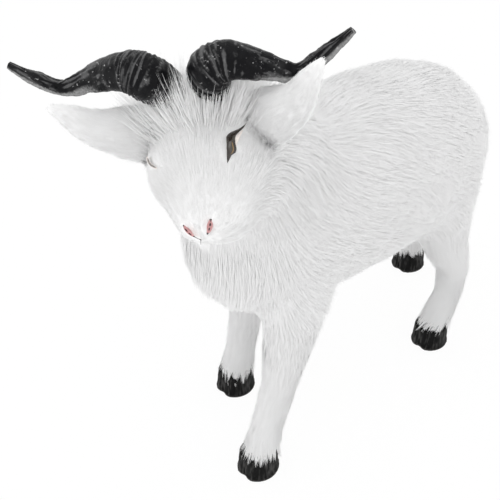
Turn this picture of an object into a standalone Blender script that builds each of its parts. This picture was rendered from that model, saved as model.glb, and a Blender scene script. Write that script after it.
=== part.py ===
"""Goat figurine: a standing goat covered in white fur, with black horns and hooves.

Metres, +Z up. The goat stands along Y with its chest towards -Y, and its left side is +X. The ground
is at z = 0. The pieces are laid out from a point under the shoulders, and moved together at the end so
that the origin lies under the middle of the whole goat's box.
"""
import math
from dataclasses import dataclass

import bmesh
import bpy
from mathutils import Vector

MM = 0.001
SEAT_GAP = 0.3 * MM

# Trunk
TRUNK_CHEST_Y = -53 * MM
TRUNK_RUMP_Y = 137 * MM
TRUNK_MIDDLE_Z = 125 * MM
TRUNK_HALF_WIDTH = 41 * MM
TRUNK_HALF_HEIGHT = 48 * MM
# Along the trunk: share of its length, rise of the middle line, share of half width and half height
TRUNK_STATIONS = (
    (0.000, -3 * MM, 0.30, 0.30),
    (0.045, -3 * MM, 0.60, 0.60),
    (0.125, -2 * MM, 0.82, 0.86),
    (0.250, 1 * MM, 0.93, 1.00),
    (0.400, 1.5 * MM, 0.99, 1.06),
    (0.550, 0 * MM, 1.02, 1.09),
    (0.700, -2 * MM, 1.02, 1.05),
    (0.820, -5 * MM, 0.95, 0.94),
    (0.910, -8 * MM, 0.78, 0.76),
    (0.970, -10 * MM, 0.54, 0.54),
    (1.000, -11 * MM, 0.28, 0.28),
)

# Head: its middle, then how far it turns to its left, nods down and rolls its left side up, in degrees
HEAD_MIDDLE = Vector((7 * MM, TRUNK_CHEST_Y + 1 * MM, TRUNK_MIDDLE_Z + 51 * MM))
HEAD_TURN = 50.0
HEAD_NOD = 39.0
HEAD_ROLL = 18.0
# Down the face: distance from the middle, half width, half depth, rise of the middle line,
# slide of the middle line towards the left cheek
HEAD_STATIONS = (
    (-32 * MM, 13 * MM, 10 * MM, -4 * MM, 0),
    (-26 * MM, 20 * MM, 17 * MM, -3 * MM, 0),
    (-15 * MM, 24 * MM, 21 * MM, -2 * MM, 0),
    (-2 * MM, 26.5 * MM, 22.5 * MM, -3 * MM, 0),
    (10 * MM, 25 * MM, 21 * MM, -4 * MM, 1.2 * MM),
    (19 * MM, 20 * MM, 17 * MM, -4 * MM, 0.9 * MM),
    (26 * MM, 15.8 * MM, 13.2 * MM, -4 * MM, -0.4 * MM),
    (30 * MM, 13.2 * MM, 10.8 * MM, -4 * MM, -0.9 * MM),
    (32.5 * MM, 8.5 * MM, 7 * MM, -4.5 * MM, -1.2 * MM),
)

# Neck, from between the shoulders to behind the head's middle
NECK_BASE = Vector((0, TRUNK_CHEST_Y + 61 * MM, TRUNK_MIDDLE_Z - 9 * MM))
NECK_TOP = HEAD_MIDDLE + Vector((-4 * MM, 16 * MM, 0))
# Along the neck: share of its length, half width, half depth
NECK_STATIONS = (
    (0.00, 36 * MM, 45 * MM),
    (0.30, 35 * MM, 42 * MM),
    (0.58, 32 * MM, 37 * MM),
    (0.83, 28 * MM, 31 * MM),
    (1.00, 22 * MM, 24 * MM),
)

# Horns and ears sit a little off the middle of the crown, and a few degrees askew
HORN_SHIFT = -2.6 * MM
HORN_SKEW = 4.0
EAR_SHIFT = 1.2 * MM
EAR_SKEW = 1.6

# Places on the head: distance down the face, then degrees from the cheek's side towards the forehead
HORN_DOWN = -24.5 * MM
HORN_ROUND = 50.0
HORN_SINK = 9 * MM
EAR_DOWN = -11 * MM
EAR_ROUND = 24.7
EAR_SINK = 3.0 * MM
LEFT_EYE_DOWN = -0.6 * MM
LEFT_EYE_ROUND = 56.0
RIGHT_EYE_DOWN = 1.8 * MM
RIGHT_EYE_ROUND = 36.0
EYE_SINK = 2.4 * MM
NOSTRIL_TOP_DOWN = 25.8 * MM
NOSTRIL_TOP_ROUND = 67.0
NOSTRIL_TOP_SINK = 0.2 * MM
NOSTRIL_LOW_DOWN = 30.3 * MM
NOSTRIL_LOW_ROUND = 77.0
NOSTRIL_LOW_SINK = 0.8 * MM
# The nose and the mouth sit off the middle, towards the right cheek
NOSE_SLIDE = -2.6 * MM

# Horns from the root, in the head's own directions: left, down the face, out, then two half widths
HORN_STATIONS = (
    (Vector((0, 0, 0)), 7.0 * MM, 6.4 * MM),
    (Vector((0.8 * MM, -0.5 * MM, 8.3 * MM)), 7.6 * MM, 6.9 * MM),
    (Vector((2.2 * MM, -0.7 * MM, 16.8 * MM)), 8.3 * MM, 7.5 * MM),
    (Vector((5.3 * MM, -0.7 * MM, 26.2 * MM)), 8.5 * MM, 7.5 * MM),
    (Vector((12.5 * MM, -3 * MM, 27.7 * MM)), 8.0 * MM, 6.8 * MM),
    (Vector((24 * MM, -1.9 * MM, 23.2 * MM)), 6.6 * MM, 4.6 * MM),
    (Vector((35.5 * MM, -0.1 * MM, 18.7 * MM)), 3.2 * MM, 5.0 * MM),
    (Vector((46.5 * MM, -3.3 * MM, 23.2 * MM)), 2.9 * MM, 4.4 * MM),
    (Vector((58 * MM, -8.9 * MM, 28.7 * MM)), 1.2 * MM, 1.6 * MM),
)
# The right horn's blade reaches further out: the moves of its last stations
RIGHT_HORN_MOVES = {
    5: Vector((2.5 * MM, -2.5 * MM, 0)),
    6: Vector((5.6 * MM, -3 * MM, 0)),
    7: Vector((4.5 * MM, -2.2 * MM, 0)),
    8: Vector((3.2 * MM, -1.6 * MM, 0)),
}
# The way that a horn's first half width points
HORN_WIDE_WAY = Vector((0.55, 1, 0))
HORN_RINGS = 46
HORN_SIDES = 14
HORN_RIDGES = 6
HORN_RIDGE_FROM = 0.26
HORN_RIDGE_TO = 0.56
HORN_RIDGE_HEIGHT = 1.0 * MM

# Ears from the root, in the head's own directions
EAR_MIDDLE = Vector((19.2 * MM, -0.3 * MM, 15.8 * MM))
EAR_TIP = Vector((33.6 * MM, -5.4 * MM, 36.6 * MM))
RIGHT_EAR_TIP = Vector((30.8 * MM, -4.4 * MM, 32.6 * MM))
EAR_ACROSS = Vector((4 * MM, 12 * MM, -9 * MM))
EAR_HALF_THICKNESS = 1.7 * MM
EAR_CUP = 3.0 * MM
# Along the ear: half width, from the root to the tip
EAR_HALF_WIDTHS = (9.5 * MM, 11.8 * MM, 11 * MM, 9.2 * MM, 7.6 * MM, 6.3 * MM, 5 * MM, 3 * MM, 1.1 * MM)
EAR_COLUMNS = 8

# Eyes: almond lenses, the right one mostly under the fur
EYE_HALF_DEPTH = 3.4 * MM
LEFT_EYE_HALF_HEIGHT = 7.6 * MM
LEFT_EYE_HALF_WIDTH = 3.2 * MM
RIGHT_EYE_HALF_HEIGHT = 3.2 * MM
RIGHT_EYE_HALF_WIDTH = 2.0 * MM
EYE_SLANT = 24.0

# Nostrils and mouth: slits in the muzzle
NOSTRIL_HALF_WIDTH = 1.0 * MM
NOSTRIL_HALF_DEPTH = 2.4 * MM
NOSTRIL_OUT_WAY = Vector((0, 0.6, 0.8))
NOSTRIL_OVERRUN = 1.15
MOUTH_HALF_WIDTH = 8 * MM
MOUTH_BEYOND = 0.5 * MM
MOUTH_BELOW = 0.5 * MM
MOUTH_CURVE_BACK = 6 * MM
MOUTH_CURVE_LOW = 3 * MM
MOUTH_GROOVE = 0.7 * MM
MOUTH_STEPS = 8

# Legs
HOOF_HEIGHT = 13 * MM
HOOF_HALF_WIDTH = 10.2 * MM
HOOF_HALF_LENGTH = 11 * MM
HOOF_RIM = 1.6 * MM
HOOF_CLEFT = 0.16
HOOF_CLEFT_SPREAD = 0.24
HOOF_SIDES = 28
LEG_END_BELOW = 5 * MM


# Leg centre lines start inside the trunk
LEG_TOP_Z = TRUNK_MIDDLE_Z - 9 * MM
# Down each leg: share of the height from the hoof to the top, share of the hoof's distance from the middle
LEG_HEIGHTS = (1.0, 0.767, 0.553, 0.359, 0.184, 0.0485)
LEG_SPREADS = (0.84, 0.92, 0.98, 1.0, 1.0, 1.0)
FRONT_SECTIONS = ((16 * MM, 24 * MM), (15.5 * MM, 19 * MM), (13.5 * MM, 14 * MM), (10.8 * MM, 11 * MM),
                  (10 * MM, 10.5 * MM), (9.8 * MM, 10 * MM), (9.8 * MM, 10 * MM))
HIND_SECTIONS = ((17 * MM, 26 * MM), (15.5 * MM, 22 * MM), (13 * MM, 15.5 * MM), (11 * MM, 12 * MM),
                 (10 * MM, 10.5 * MM), (9.8 * MM, 10 * MM), (9.8 * MM, 10 * MM))


@dataclass
class Leg:
    """One leg, set in from the trunk's side.

    Its line runs down from the trunk, as distances along Y from the chest or the rump.
    """

    name: str
    side: int
    inset: float
    start_y: float
    line: tuple
    hoof: float
    sections: tuple

    @property
    def hoof_x(self):
        return self.side * (TRUNK_HALF_WIDTH - self.inset)

    @property
    def hoof_y(self):
        return self.start_y + self.hoof


LEGS = (
    Leg("front_left", 1, 16.5 * MM, TRUNK_CHEST_Y,
        (43 * MM, 38 * MM, 32 * MM, 27 * MM, 21 * MM, 16 * MM), 13 * MM, FRONT_SECTIONS),
    Leg("front_right", -1, 16 * MM, TRUNK_CHEST_Y,
        (55 * MM, 54 * MM, 53 * MM, 52 * MM, 49 * MM, 46 * MM), 44 * MM, FRONT_SECTIONS),
    Leg("hind_left", 1, 14 * MM, TRUNK_RUMP_Y,
        (-41 * MM, -43 * MM, -37 * MM, -27 * MM, -26 * MM, -34 * MM), -39 * MM, HIND_SECTIONS),
    Leg("hind_right", -1, 14 * MM, TRUNK_RUMP_Y,
        (-33 * MM, -28 * MM, -15 * MM, 2 * MM, 8 * MM, 10 * MM), 10 * MM, HIND_SECTIONS),
)

# Tail, hanging down the rump: centre line from the trunk's end, with half width and half depth
TAIL_STATIONS = (
    (Vector((0, -13 * MM, 5 * MM)), 5.5 * MM, 5.0 * MM),
    (Vector((0, -3 * MM, 4 * MM)), 7.0 * MM, 6.0 * MM),
    (Vector((0, 5 * MM, -3 * MM)), 7.5 * MM, 6.0 * MM),
    (Vector((0, 10 * MM, -14 * MM)), 6.5 * MM, 5.2 * MM),
    (Vector((0, 13 * MM, -25 * MM)), 4.5 * MM, 3.8 * MM),
    (Vector((0, 14 * MM, -33 * MM)), 1.6 * MM, 1.6 * MM),
)
TAIL_SIDES = 14

# Faceting of the fur covered body
BODY_VOXEL = 2.4 * MM
BODY_SMOOTH_STEPS = 10
BODY_KEEP = 0.112
RING_SIDES = 24
# Larger than the goat in every direction
SLAB_SIZE = 1.0


def clear_scene():
    for item in list(bpy.data.objects):
        bpy.data.objects.remove(item, do_unlink=True)


def material(name, colour, roughness, metallic=0.0):
    made = bpy.data.materials.new(name)
    made.use_nodes = True
    shader = made.node_tree.nodes["Principled BSDF"]
    shader.inputs["Base Color"].default_value = (*colour, 1.0)
    shader.inputs["Roughness"].default_value = roughness
    shader.inputs["Metallic"].default_value = metallic
    return made


def add_object(name, mesh, finish):
    """Turn a bmesh into a named object of the scene, with its faces pointing out."""
    bmesh.ops.recalc_face_normals(mesh, faces=mesh.faces)
    if mesh.calc_volume(signed=True) < 0:
        bmesh.ops.reverse_faces(mesh, faces=mesh.faces)
    data = bpy.data.meshes.new(name)
    mesh.to_mesh(data)
    mesh.free()
    made = bpy.data.objects.new(name, data)
    bpy.context.scene.collection.objects.link(made)
    if finish:
        data.materials.append(finish)
        data.shade_smooth()
    return made


def close_rings(mesh, rings):
    """Skin a row of equal rings of points and close both ends."""
    loops = [[mesh.verts.new(point) for point in ring] for ring in rings]
    count = len(loops[0])
    for near, far in zip(loops, loops[1:]):
        for step in range(count):
            after = (step + 1) % count
            mesh.faces.new((near[step], near[after], far[after], far[step]))
    mesh.faces.new(list(reversed(loops[0])))
    mesh.faces.new(loops[-1])


def tube_rings(stations, side, sides=RING_SIDES, grow=0.0):
    """Rings of ellipses, each (centre, half width along side, half depth), across a centre line."""
    rings = []
    last = len(stations) - 1
    for index, (centre, half_width, half_depth) in enumerate(stations):
        ahead = stations[min(index + 1, last)][0] - stations[max(index - 1, 0)][0]
        ahead.normalize()
        across = (side - ahead * side.dot(ahead)).normalized()
        outward = ahead.cross(across)
        ring = []
        for step in range(sides):
            angle = 2 * math.pi * step / sides
            along = across * (half_width + grow) * math.cos(angle)
            ring.append(centre + along + outward * (half_depth + grow) * math.sin(angle))
        rings.append(ring)
    return rings


def smooth_value(values, share):
    """Read a row of numbers or vectors at a share of its length, on a smooth curve through them."""
    spans = len(values) - 1
    place = min(max(share, 0.0), 1.0) * spans
    index = min(int(place), spans - 1)
    part = place - index
    before = values[max(index - 1, 0)]
    start = values[index]
    end = values[index + 1]
    beyond = values[min(index + 2, spans)]
    bend = (end - before) * part + (before * 2 - start * 5 + end * 4 - beyond) * part ** 2
    bend = bend + (start * 3 - end * 3 + beyond - before) * part ** 3
    return start + bend * 0.5


def head_axes():
    """Unit vectors: towards the left cheek, down the face, out of the forehead."""
    turn = math.radians(HEAD_TURN)
    nod = math.radians(HEAD_NOD)
    roll = math.radians(HEAD_ROLL)
    level = Vector((math.cos(turn), math.sin(turn), 0))
    ahead = Vector((math.sin(turn), -math.cos(turn), 0))
    up = Vector((0, 0, 1))
    down = ahead * math.cos(nod) - up * math.sin(nod)
    brow = ahead * math.sin(nod) + up * math.cos(nod)
    left = level * math.cos(roll) + brow * math.sin(roll)
    outward = brow * math.cos(roll) - level * math.sin(roll)
    return left, down, outward


def head_vector(local, side=1, skew=0.0):
    """Turn a vector in the head's directions, mirrored for side -1 and skewed about the brow."""
    left, down, outward = head_axes()
    angle = math.radians(skew)
    skewed_left = left * math.cos(angle) + down * math.sin(angle)
    skewed_down = down * math.cos(angle) - left * math.sin(angle)
    return skewed_left * local.x * side + skewed_down * local.y + outward * local.z


def head_point(local, side=1, skew=0.0):
    return HEAD_MIDDLE + head_vector(local, side, skew)


def head_surface(down, round_degrees, sink):
    """A point under the head's skin, in the head's own directions."""
    near = HEAD_STATIONS[0]
    far = HEAD_STATIONS[1]
    for near, far in zip(HEAD_STATIONS, HEAD_STATIONS[1:]):
        if down <= far[0]:
            break
    part = (down - near[0]) / (far[0] - near[0])
    half_width, half_depth, rise, _ = (start + (end - start) * part for start, end in zip(near[1:], far[1:]))
    angle = math.radians(round_degrees)
    return Vector((math.cos(angle) * (half_width - sink), down, rise + math.sin(angle) * (half_depth - sink)))


def horn_point(local, side):
    root = head_surface(HORN_DOWN, HORN_ROUND, HORN_SINK)
    return head_point(root + local, side, HORN_SKEW) + head_axes()[0] * HORN_SHIFT


def ear_point(local, side):
    root = head_surface(EAR_DOWN, EAR_ROUND, EAR_SINK)
    return head_point(root + local, side, EAR_SKEW) + head_axes()[0] * EAR_SHIFT


def trunk_stations():
    length = TRUNK_RUMP_Y - TRUNK_CHEST_Y
    stations = []
    for share, rise, width, height in TRUNK_STATIONS:
        centre = Vector((0, TRUNK_CHEST_Y + share * length, TRUNK_MIDDLE_Z + rise))
        stations.append((centre, TRUNK_HALF_WIDTH * width, TRUNK_HALF_HEIGHT * height))
    return stations


def neck_stations():
    return [(NECK_BASE.lerp(NECK_TOP, share), width, depth) for share, width, depth in NECK_STATIONS]


def head_stations():
    return [(head_point(Vector((slide, down, rise))), width, depth)
            for down, width, depth, rise, slide in HEAD_STATIONS]


def leg_stations(leg):
    stations = []
    for share, spread, along, (width, depth) in zip(LEG_HEIGHTS, LEG_SPREADS, leg.line, leg.sections):
        height = HOOF_HEIGHT + share * (LEG_TOP_Z - HOOF_HEIGHT)
        stations.append((Vector((leg.hoof_x * spread, leg.start_y + along, height)), width, depth))
    width, depth = leg.sections[-1]
    stations.append((Vector((leg.hoof_x, leg.hoof_y, HOOF_HEIGHT - LEG_END_BELOW)), width, depth))
    return stations


def tail_stations():
    base = Vector((0, TRUNK_RUMP_Y, TRUNK_MIDDLE_Z))
    return [(base + place, width, depth) for place, width, depth in TAIL_STATIONS]


def horn_rings(side, grow=0.0):
    """Rings of a horn that arches out sideways, ridged over its first half, then flat and twisted."""
    places = [station[0] for station in HORN_STATIONS]
    if side < 0:
        places = [place + RIGHT_HORN_MOVES.get(index, Vector()) for index, place in enumerate(places)]
    widths = [station[1] for station in HORN_STATIONS]
    depths = [station[2] for station in HORN_STATIONS]
    stations = []
    for index in range(HORN_RINGS + 1):
        share = index / HORN_RINGS
        centre = horn_point(smooth_value(places, share), side)
        ridge = 0.0
        if HORN_RIDGE_FROM < share < HORN_RIDGE_TO:
            turn = (share - HORN_RIDGE_FROM) / (HORN_RIDGE_TO - HORN_RIDGE_FROM)
            ridge = HORN_RIDGE_HEIGHT * (math.cos(2 * math.pi * HORN_RIDGES * turn) * -0.5 + 0.5)
        width = smooth_value(widths, share) + ridge
        depth = smooth_value(depths, share) + ridge
        stations.append((centre, width, depth))
    return tube_rings(stations, head_vector(HORN_WIDE_WAY, side), HORN_SIDES, grow)


def make_horn(name, side, finish):
    mesh = bmesh.new()
    close_rings(mesh, horn_rings(side))
    return add_object(name, mesh, finish)


def ear_rings(side, grow=0.0):
    """Rings round the blade of a cupped leaf, from the root to the tip."""
    tip = EAR_TIP if side > 0 else RIGHT_EAR_TIP
    line = (Vector(), EAR_MIDDLE * 0.5, EAR_MIDDLE, EAR_MIDDLE.lerp(tip, 0.5), tip)
    across = EAR_ACROSS.normalized()
    rings = []
    last = len(EAR_HALF_WIDTHS) - 1
    for index, half_width in enumerate(EAR_HALF_WIDTHS):
        share = index / last
        centre = smooth_value(line, share)
        ahead = (smooth_value(line, min(share + 0.05, 1.0)) - smooth_value(line, max(share - 0.05, 0.0))).normalized()
        width_way = (across - ahead * across.dot(ahead)).normalized()
        face_way = width_way.cross(ahead)
        half = half_width + grow
        front = []
        back = []
        for column in range(EAR_COLUMNS + 1):
            place = 2 * column / EAR_COLUMNS - 1
            cup = EAR_CUP * (half_width / max(EAR_HALF_WIDTHS)) * (place ** 2 - 0.4)
            thick = (EAR_HALF_THICKNESS * min(1.0, 0.35 + half_width / EAR_HALF_WIDTHS[0])
                     * math.sqrt(max(1 - place ** 4, 0.04)) + grow)
            middle = centre + width_way * half * place + face_way * cup
            front.append(middle + face_way * thick)
            back.append(middle - face_way * thick)
        ring = front + list(reversed(back))
        rings.append([ear_point(point, side) for point in ring])
    return rings


def make_ear(name, side, finish):
    mesh = bmesh.new()
    close_rings(mesh, ear_rings(side))
    return add_object(name, mesh, finish)


def eye_mesh(side, grow=0.0):
    """An almond shaped lens standing on the cheek, its long axis slanting outwards at the top."""
    if side > 0:
        half_height, half_width = LEFT_EYE_HALF_HEIGHT, LEFT_EYE_HALF_WIDTH
        place = head_surface(LEFT_EYE_DOWN, LEFT_EYE_ROUND, EYE_SINK)
    else:
        half_height, half_width = RIGHT_EYE_HALF_HEIGHT, RIGHT_EYE_HALF_WIDTH
        place = head_surface(RIGHT_EYE_DOWN, RIGHT_EYE_ROUND, EYE_SINK)
    face_way = Vector((place.x, 0, place.z)).normalized()
    level = Vector((face_way.z, 0, -face_way.x))
    slant = math.radians(EYE_SLANT)
    tall = Vector((0, -1, 0)) * math.cos(slant) + level * math.sin(slant)
    wide = face_way.cross(tall)
    mesh = bmesh.new()
    bmesh.ops.create_uvsphere(mesh, u_segments=12, v_segments=8, radius=1.0)
    for vert in mesh.verts:
        pinch = max(1 - vert.co.z ** 2, 0.0) ** 0.25
        point = (tall * vert.co.z * (half_height + grow) + wide * vert.co.x * pinch * (half_width + grow)
                 + face_way * vert.co.y * pinch * (EYE_HALF_DEPTH + grow))
        vert.co = head_point(place + point, side)
    return mesh


def nostril_mesh(side):
    mesh = bmesh.new()
    bmesh.ops.create_uvsphere(mesh, u_segments=10, v_segments=8, radius=1.0)
    top = head_surface(NOSTRIL_TOP_DOWN, NOSTRIL_TOP_ROUND, NOSTRIL_TOP_SINK)
    low = head_surface(NOSTRIL_LOW_DOWN, NOSTRIL_LOW_ROUND, NOSTRIL_LOW_SINK)
    middle = (top + low) / 2
    long_way = (top - low) / 2
    wide_way = long_way.cross(NOSTRIL_OUT_WAY).normalized()
    for vert in mesh.verts:
        point = (long_way * NOSTRIL_OVERRUN * vert.co.z + wide_way * vert.co.x * NOSTRIL_HALF_WIDTH
                 + NOSTRIL_OUT_WAY * vert.co.y * NOSTRIL_HALF_DEPTH)
        vert.co = head_point(middle + point, side) + head_axes()[0] * NOSE_SLIDE
    return mesh


def mouth_mesh():
    """A bent rod along the lips, which leaves the mouth's groove."""
    muzzle = HEAD_STATIONS[-1]
    down = muzzle[0] + MOUTH_BEYOND
    rise = muzzle[3] - MOUTH_BELOW
    stations = []
    for step in range(MOUTH_STEPS + 1):
        share = 2 * step / MOUTH_STEPS - 1
        curve = share ** 2
        local = Vector((NOSE_SLIDE + share * MOUTH_HALF_WIDTH, down - MOUTH_CURVE_BACK * curve,
                        rise - MOUTH_CURVE_LOW * curve))
        stations.append((head_point(local), MOUTH_GROOVE, MOUTH_GROOVE))
    mesh = bmesh.new()
    close_rings(mesh, tube_rings(stations, head_axes()[2], 8))
    return mesh


def hoof_outline(scale, height, leg):
    """Points round a hoof at one height: an oval with a cleft at the toe."""
    ring = []
    for step in range(HOOF_SIDES):
        angle = 2 * math.pi * step / HOOF_SIDES
        from_toe = math.atan2(math.sin(angle), math.cos(angle))
        cleft = 1 - HOOF_CLEFT * math.exp(-(from_toe / HOOF_CLEFT_SPREAD) ** 2)
        x = math.sin(angle) * HOOF_HALF_WIDTH * scale
        y = -math.cos(angle) * HOOF_HALF_LENGTH * scale * cleft
        ring.append(Vector((leg.hoof_x + x, leg.hoof_y + y, height)))
    return ring


def make_hoof(leg, finish):
    mesh = bmesh.new()
    rings = [
        hoof_outline(0.96, 0.0, leg),
        hoof_outline(1.0, HOOF_RIM * 0.5, leg),
        hoof_outline(1.0, HOOF_RIM, leg),
        hoof_outline(0.95, HOOF_RIM * 1.3, leg),
        hoof_outline(0.92, HOOF_HEIGHT * 0.6, leg),
        hoof_outline(0.88, HOOF_HEIGHT, leg),
    ]
    close_rings(mesh, rings)
    return add_object(leg.name + "_hoof", mesh, finish)


def make_tail(finish):
    mesh = bmesh.new()
    close_rings(mesh, tube_rings(tail_stations(), Vector((1, 0, 0)), TAIL_SIDES))
    return add_object("tail", mesh, finish)


def cut(body, name, mesh):
    """Take a closed shape out of the body."""
    cutter = add_object(name, mesh, None)
    cutter.hide_render = True
    cutter.display_type = "WIRE"
    carve = body.modifiers.new(name, "BOOLEAN")
    carve.operation = "DIFFERENCE"
    carve.solver = "EXACT"
    carve.object = cutter


def rings_mesh(rings):
    mesh = bmesh.new()
    close_rings(mesh, rings)
    return mesh


def leg_end_mesh():
    """A slab from below the ground up to just above the hooves, which trims the legs level."""
    mesh = bmesh.new()
    bmesh.ops.create_cube(mesh, size=SLAB_SIZE)
    top = HOOF_HEIGHT + SEAT_GAP
    for vert in mesh.verts:
        vert.co.z = top if vert.co.z > 0 else -LEG_END_BELOW
    return mesh


def make_body(finish):
    mesh = bmesh.new()
    across = Vector((1, 0, 0))
    close_rings(mesh, tube_rings(trunk_stations(), across))
    close_rings(mesh, tube_rings(neck_stations(), across))
    close_rings(mesh, tube_rings(head_stations(), head_axes()[0]))
    for leg in LEGS:
        close_rings(mesh, tube_rings(leg_stations(leg), across))
    body = add_object("body", mesh, finish)
    join = body.modifiers.new("Join", "REMESH")
    join.mode = "VOXEL"
    join.voxel_size = BODY_VOXEL
    soften = body.modifiers.new("Soften", "SMOOTH")
    soften.factor = 0.5
    soften.iterations = BODY_SMOOTH_STEPS
    facets = body.modifiers.new("Facets", "DECIMATE")
    facets.ratio = BODY_KEEP
    cut(body, "leg_end_cutter", leg_end_mesh())
    for word, side in (("left", 1), ("right", -1)):
        cut(body, word + "_horn_socket", rings_mesh(horn_rings(side, SEAT_GAP)))
        cut(body, word + "_ear_socket", rings_mesh(ear_rings(side, SEAT_GAP)))
        cut(body, word + "_eye_socket", eye_mesh(side, SEAT_GAP))
        cut(body, word + "_nostril", nostril_mesh(side))
    cut(body, "tail_socket", rings_mesh(tube_rings(tail_stations(), across, TAIL_SIDES, SEAT_GAP)))
    cut(body, "mouth_groove", mouth_mesh())
    return body


def centre_on_ground():
    """Move all objects together, so that the origin lies under the middle of the goat's box.

    The body lies inside the box of the other pieces, so their plain meshes give it.
    """
    points = []
    for item in bpy.data.objects:
        if not item.hide_render and not item.modifiers:
            points.extend(vert.co for vert in item.data.vertices)
    for axis in (0, 1):
        places = [point[axis] for point in points]
        middle = (min(places) + max(places)) / 2
        for item in bpy.data.objects:
            item.location[axis] = -middle


def main():
    clear_scene()
    fur = material("White fur", (0.80, 0.80, 0.80), 0.9)
    horn = material("Black horn", (0.03, 0.03, 0.032), 0.35)
    hoof = material("Black hoof", (0.04, 0.04, 0.04), 0.55)
    amber = material("Amber eye", (0.12, 0.05, 0.02), 0.08)
    make_body(fur)
    for word, side in (("left", 1), ("right", -1)):
        make_horn(word + "_horn", side, horn)
        make_ear(word + "_ear", side, fur)
        add_object(word + "_eye", eye_mesh(side), amber)
    for leg in LEGS:
        make_hoof(leg, hoof)
    make_tail(fur)
    centre_on_ground()


if __name__ == "__main__":
    main()
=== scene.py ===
"""Goat figurine: white fur over a moulded body, black ridged horns, black hooves and amber eyes.

All sizes are in metres. The goat's pieces are worked out in its own layout, from a point under the
shoulders, and Layout.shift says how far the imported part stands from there.
"""

import logging
import math
from dataclasses import dataclass, field
from enum import Enum, IntEnum
from typing import ClassVar

import bmesh
import bpy
import numpy as np
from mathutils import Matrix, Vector, kdtree, noise
from mathutils.bvhtree import BVHTree


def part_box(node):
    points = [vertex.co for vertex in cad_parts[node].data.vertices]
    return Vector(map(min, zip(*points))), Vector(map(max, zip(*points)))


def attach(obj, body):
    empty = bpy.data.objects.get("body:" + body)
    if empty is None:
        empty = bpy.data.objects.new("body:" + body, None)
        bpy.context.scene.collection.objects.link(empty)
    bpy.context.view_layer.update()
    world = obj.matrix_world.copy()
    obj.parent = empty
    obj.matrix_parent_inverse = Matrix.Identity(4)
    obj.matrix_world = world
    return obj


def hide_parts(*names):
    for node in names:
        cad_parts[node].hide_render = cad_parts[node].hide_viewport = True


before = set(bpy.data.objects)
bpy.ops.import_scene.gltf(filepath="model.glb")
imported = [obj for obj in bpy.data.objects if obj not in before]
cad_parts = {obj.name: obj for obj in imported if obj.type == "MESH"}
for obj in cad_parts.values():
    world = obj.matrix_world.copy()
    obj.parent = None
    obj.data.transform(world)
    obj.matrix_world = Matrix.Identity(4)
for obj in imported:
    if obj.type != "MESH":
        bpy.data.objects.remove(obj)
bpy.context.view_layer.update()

MM = 0.001
BODY = "root"
UP = Vector((0.0, 0.0, 1.0))
NOISE_SEED = 7
EAR_SKEW = 1.6
HAIR_MAP = "OFBake"

log = logging.getLogger("goat")


class Slot(Enum):
    """Material slots of the part's record."""

    FUR = "fur"
    HORN = "horn"
    HOOF = "hoof"
    EYE = "eye"


class Side(Enum):
    """The goat's own left and right."""

    LEFT = 1
    RIGHT = -1

    @property
    def word(self) -> str:
        """The side's name as node names have it."""
        return self.name.lower()


class Coat(Enum):
    """Stretches of fur that are made as one piece each."""

    HEAD = "head"
    NECK = "neck"
    TRUNK_LEFT = "trunk_left"
    TRUNK_RIGHT = "trunk_right"
    FRONT_LEGS = "front_legs"
    HIND_LEGS = "hind_legs"


class Part(IntEnum):
    """Parts of the body whose fur grows its own way, as columns of their weights."""

    TRUNK = 0
    NECK = 1
    HEAD = 2
    FRONT_LEFT = 3
    FRONT_RIGHT = 4
    HIND_LEFT = 5
    HIND_RIGHT = 6


def unit(rows: np.ndarray) -> np.ndarray:
    """Scale rows of vectors to length one.

    Args:
        rows: An array of vectors, one a row.

    Returns:
        The same vectors with length one.
    """
    return rows / np.maximum(np.linalg.norm(rows, axis=-1, keepdims=True), 1e-12)


def ease(values: np.ndarray, low: float, high: float) -> np.ndarray:
    """Rise smoothly from 0 at low to 1 at high.

    Args:
        values: Numbers to read.
        low: Where the rise starts.
        high: Where the rise ends. It may lie below low, for a fall.

    Returns:
        Shares between 0 and 1.
    """
    share = np.clip((values - low) / (high - low), 0.0, 1.0)
    return share * share * (3.0 - 2.0 * share)


def band(values: np.ndarray, edges: tuple) -> np.ndarray:
    """Rise smoothly from 0 at the first edge to 1 at the second, both in millimetres."""
    return ease(values, edges[0] * MM, edges[1] * MM)


def bearing(azimuth: float, elevation: float) -> Vector:
    """The way from the goat to a camera or lamp, from degrees round it and up."""
    turn, rise = math.radians(azimuth), math.radians(elevation)
    return Vector((math.sin(turn) * math.cos(rise), -math.cos(turn) * math.cos(rise), math.sin(rise)))


def smooth_value(values, share: float):
    """Read a row of numbers or vectors on a smooth curve through them.

    Args:
        values: Numbers or vectors, evenly spaced along the curve.
        share: How far along the row, from 0 to 1.

    Returns:
        The number or vector there.
    """
    spans = len(values) - 1
    place = min(max(share, 0.0), 1.0) * spans
    index = min(int(place), spans - 1)
    part = place - index
    before = values[max(index - 1, 0)]
    start = values[index]
    end = values[index + 1]
    beyond = values[min(index + 2, spans)]
    bend = (end - before) * part + (before * 2 - start * 5 + end * 4 - beyond) * part ** 2
    bend = bend + (start * 3 - end * 3 + beyond - before) * part ** 3
    return start + bend * 0.5


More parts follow.
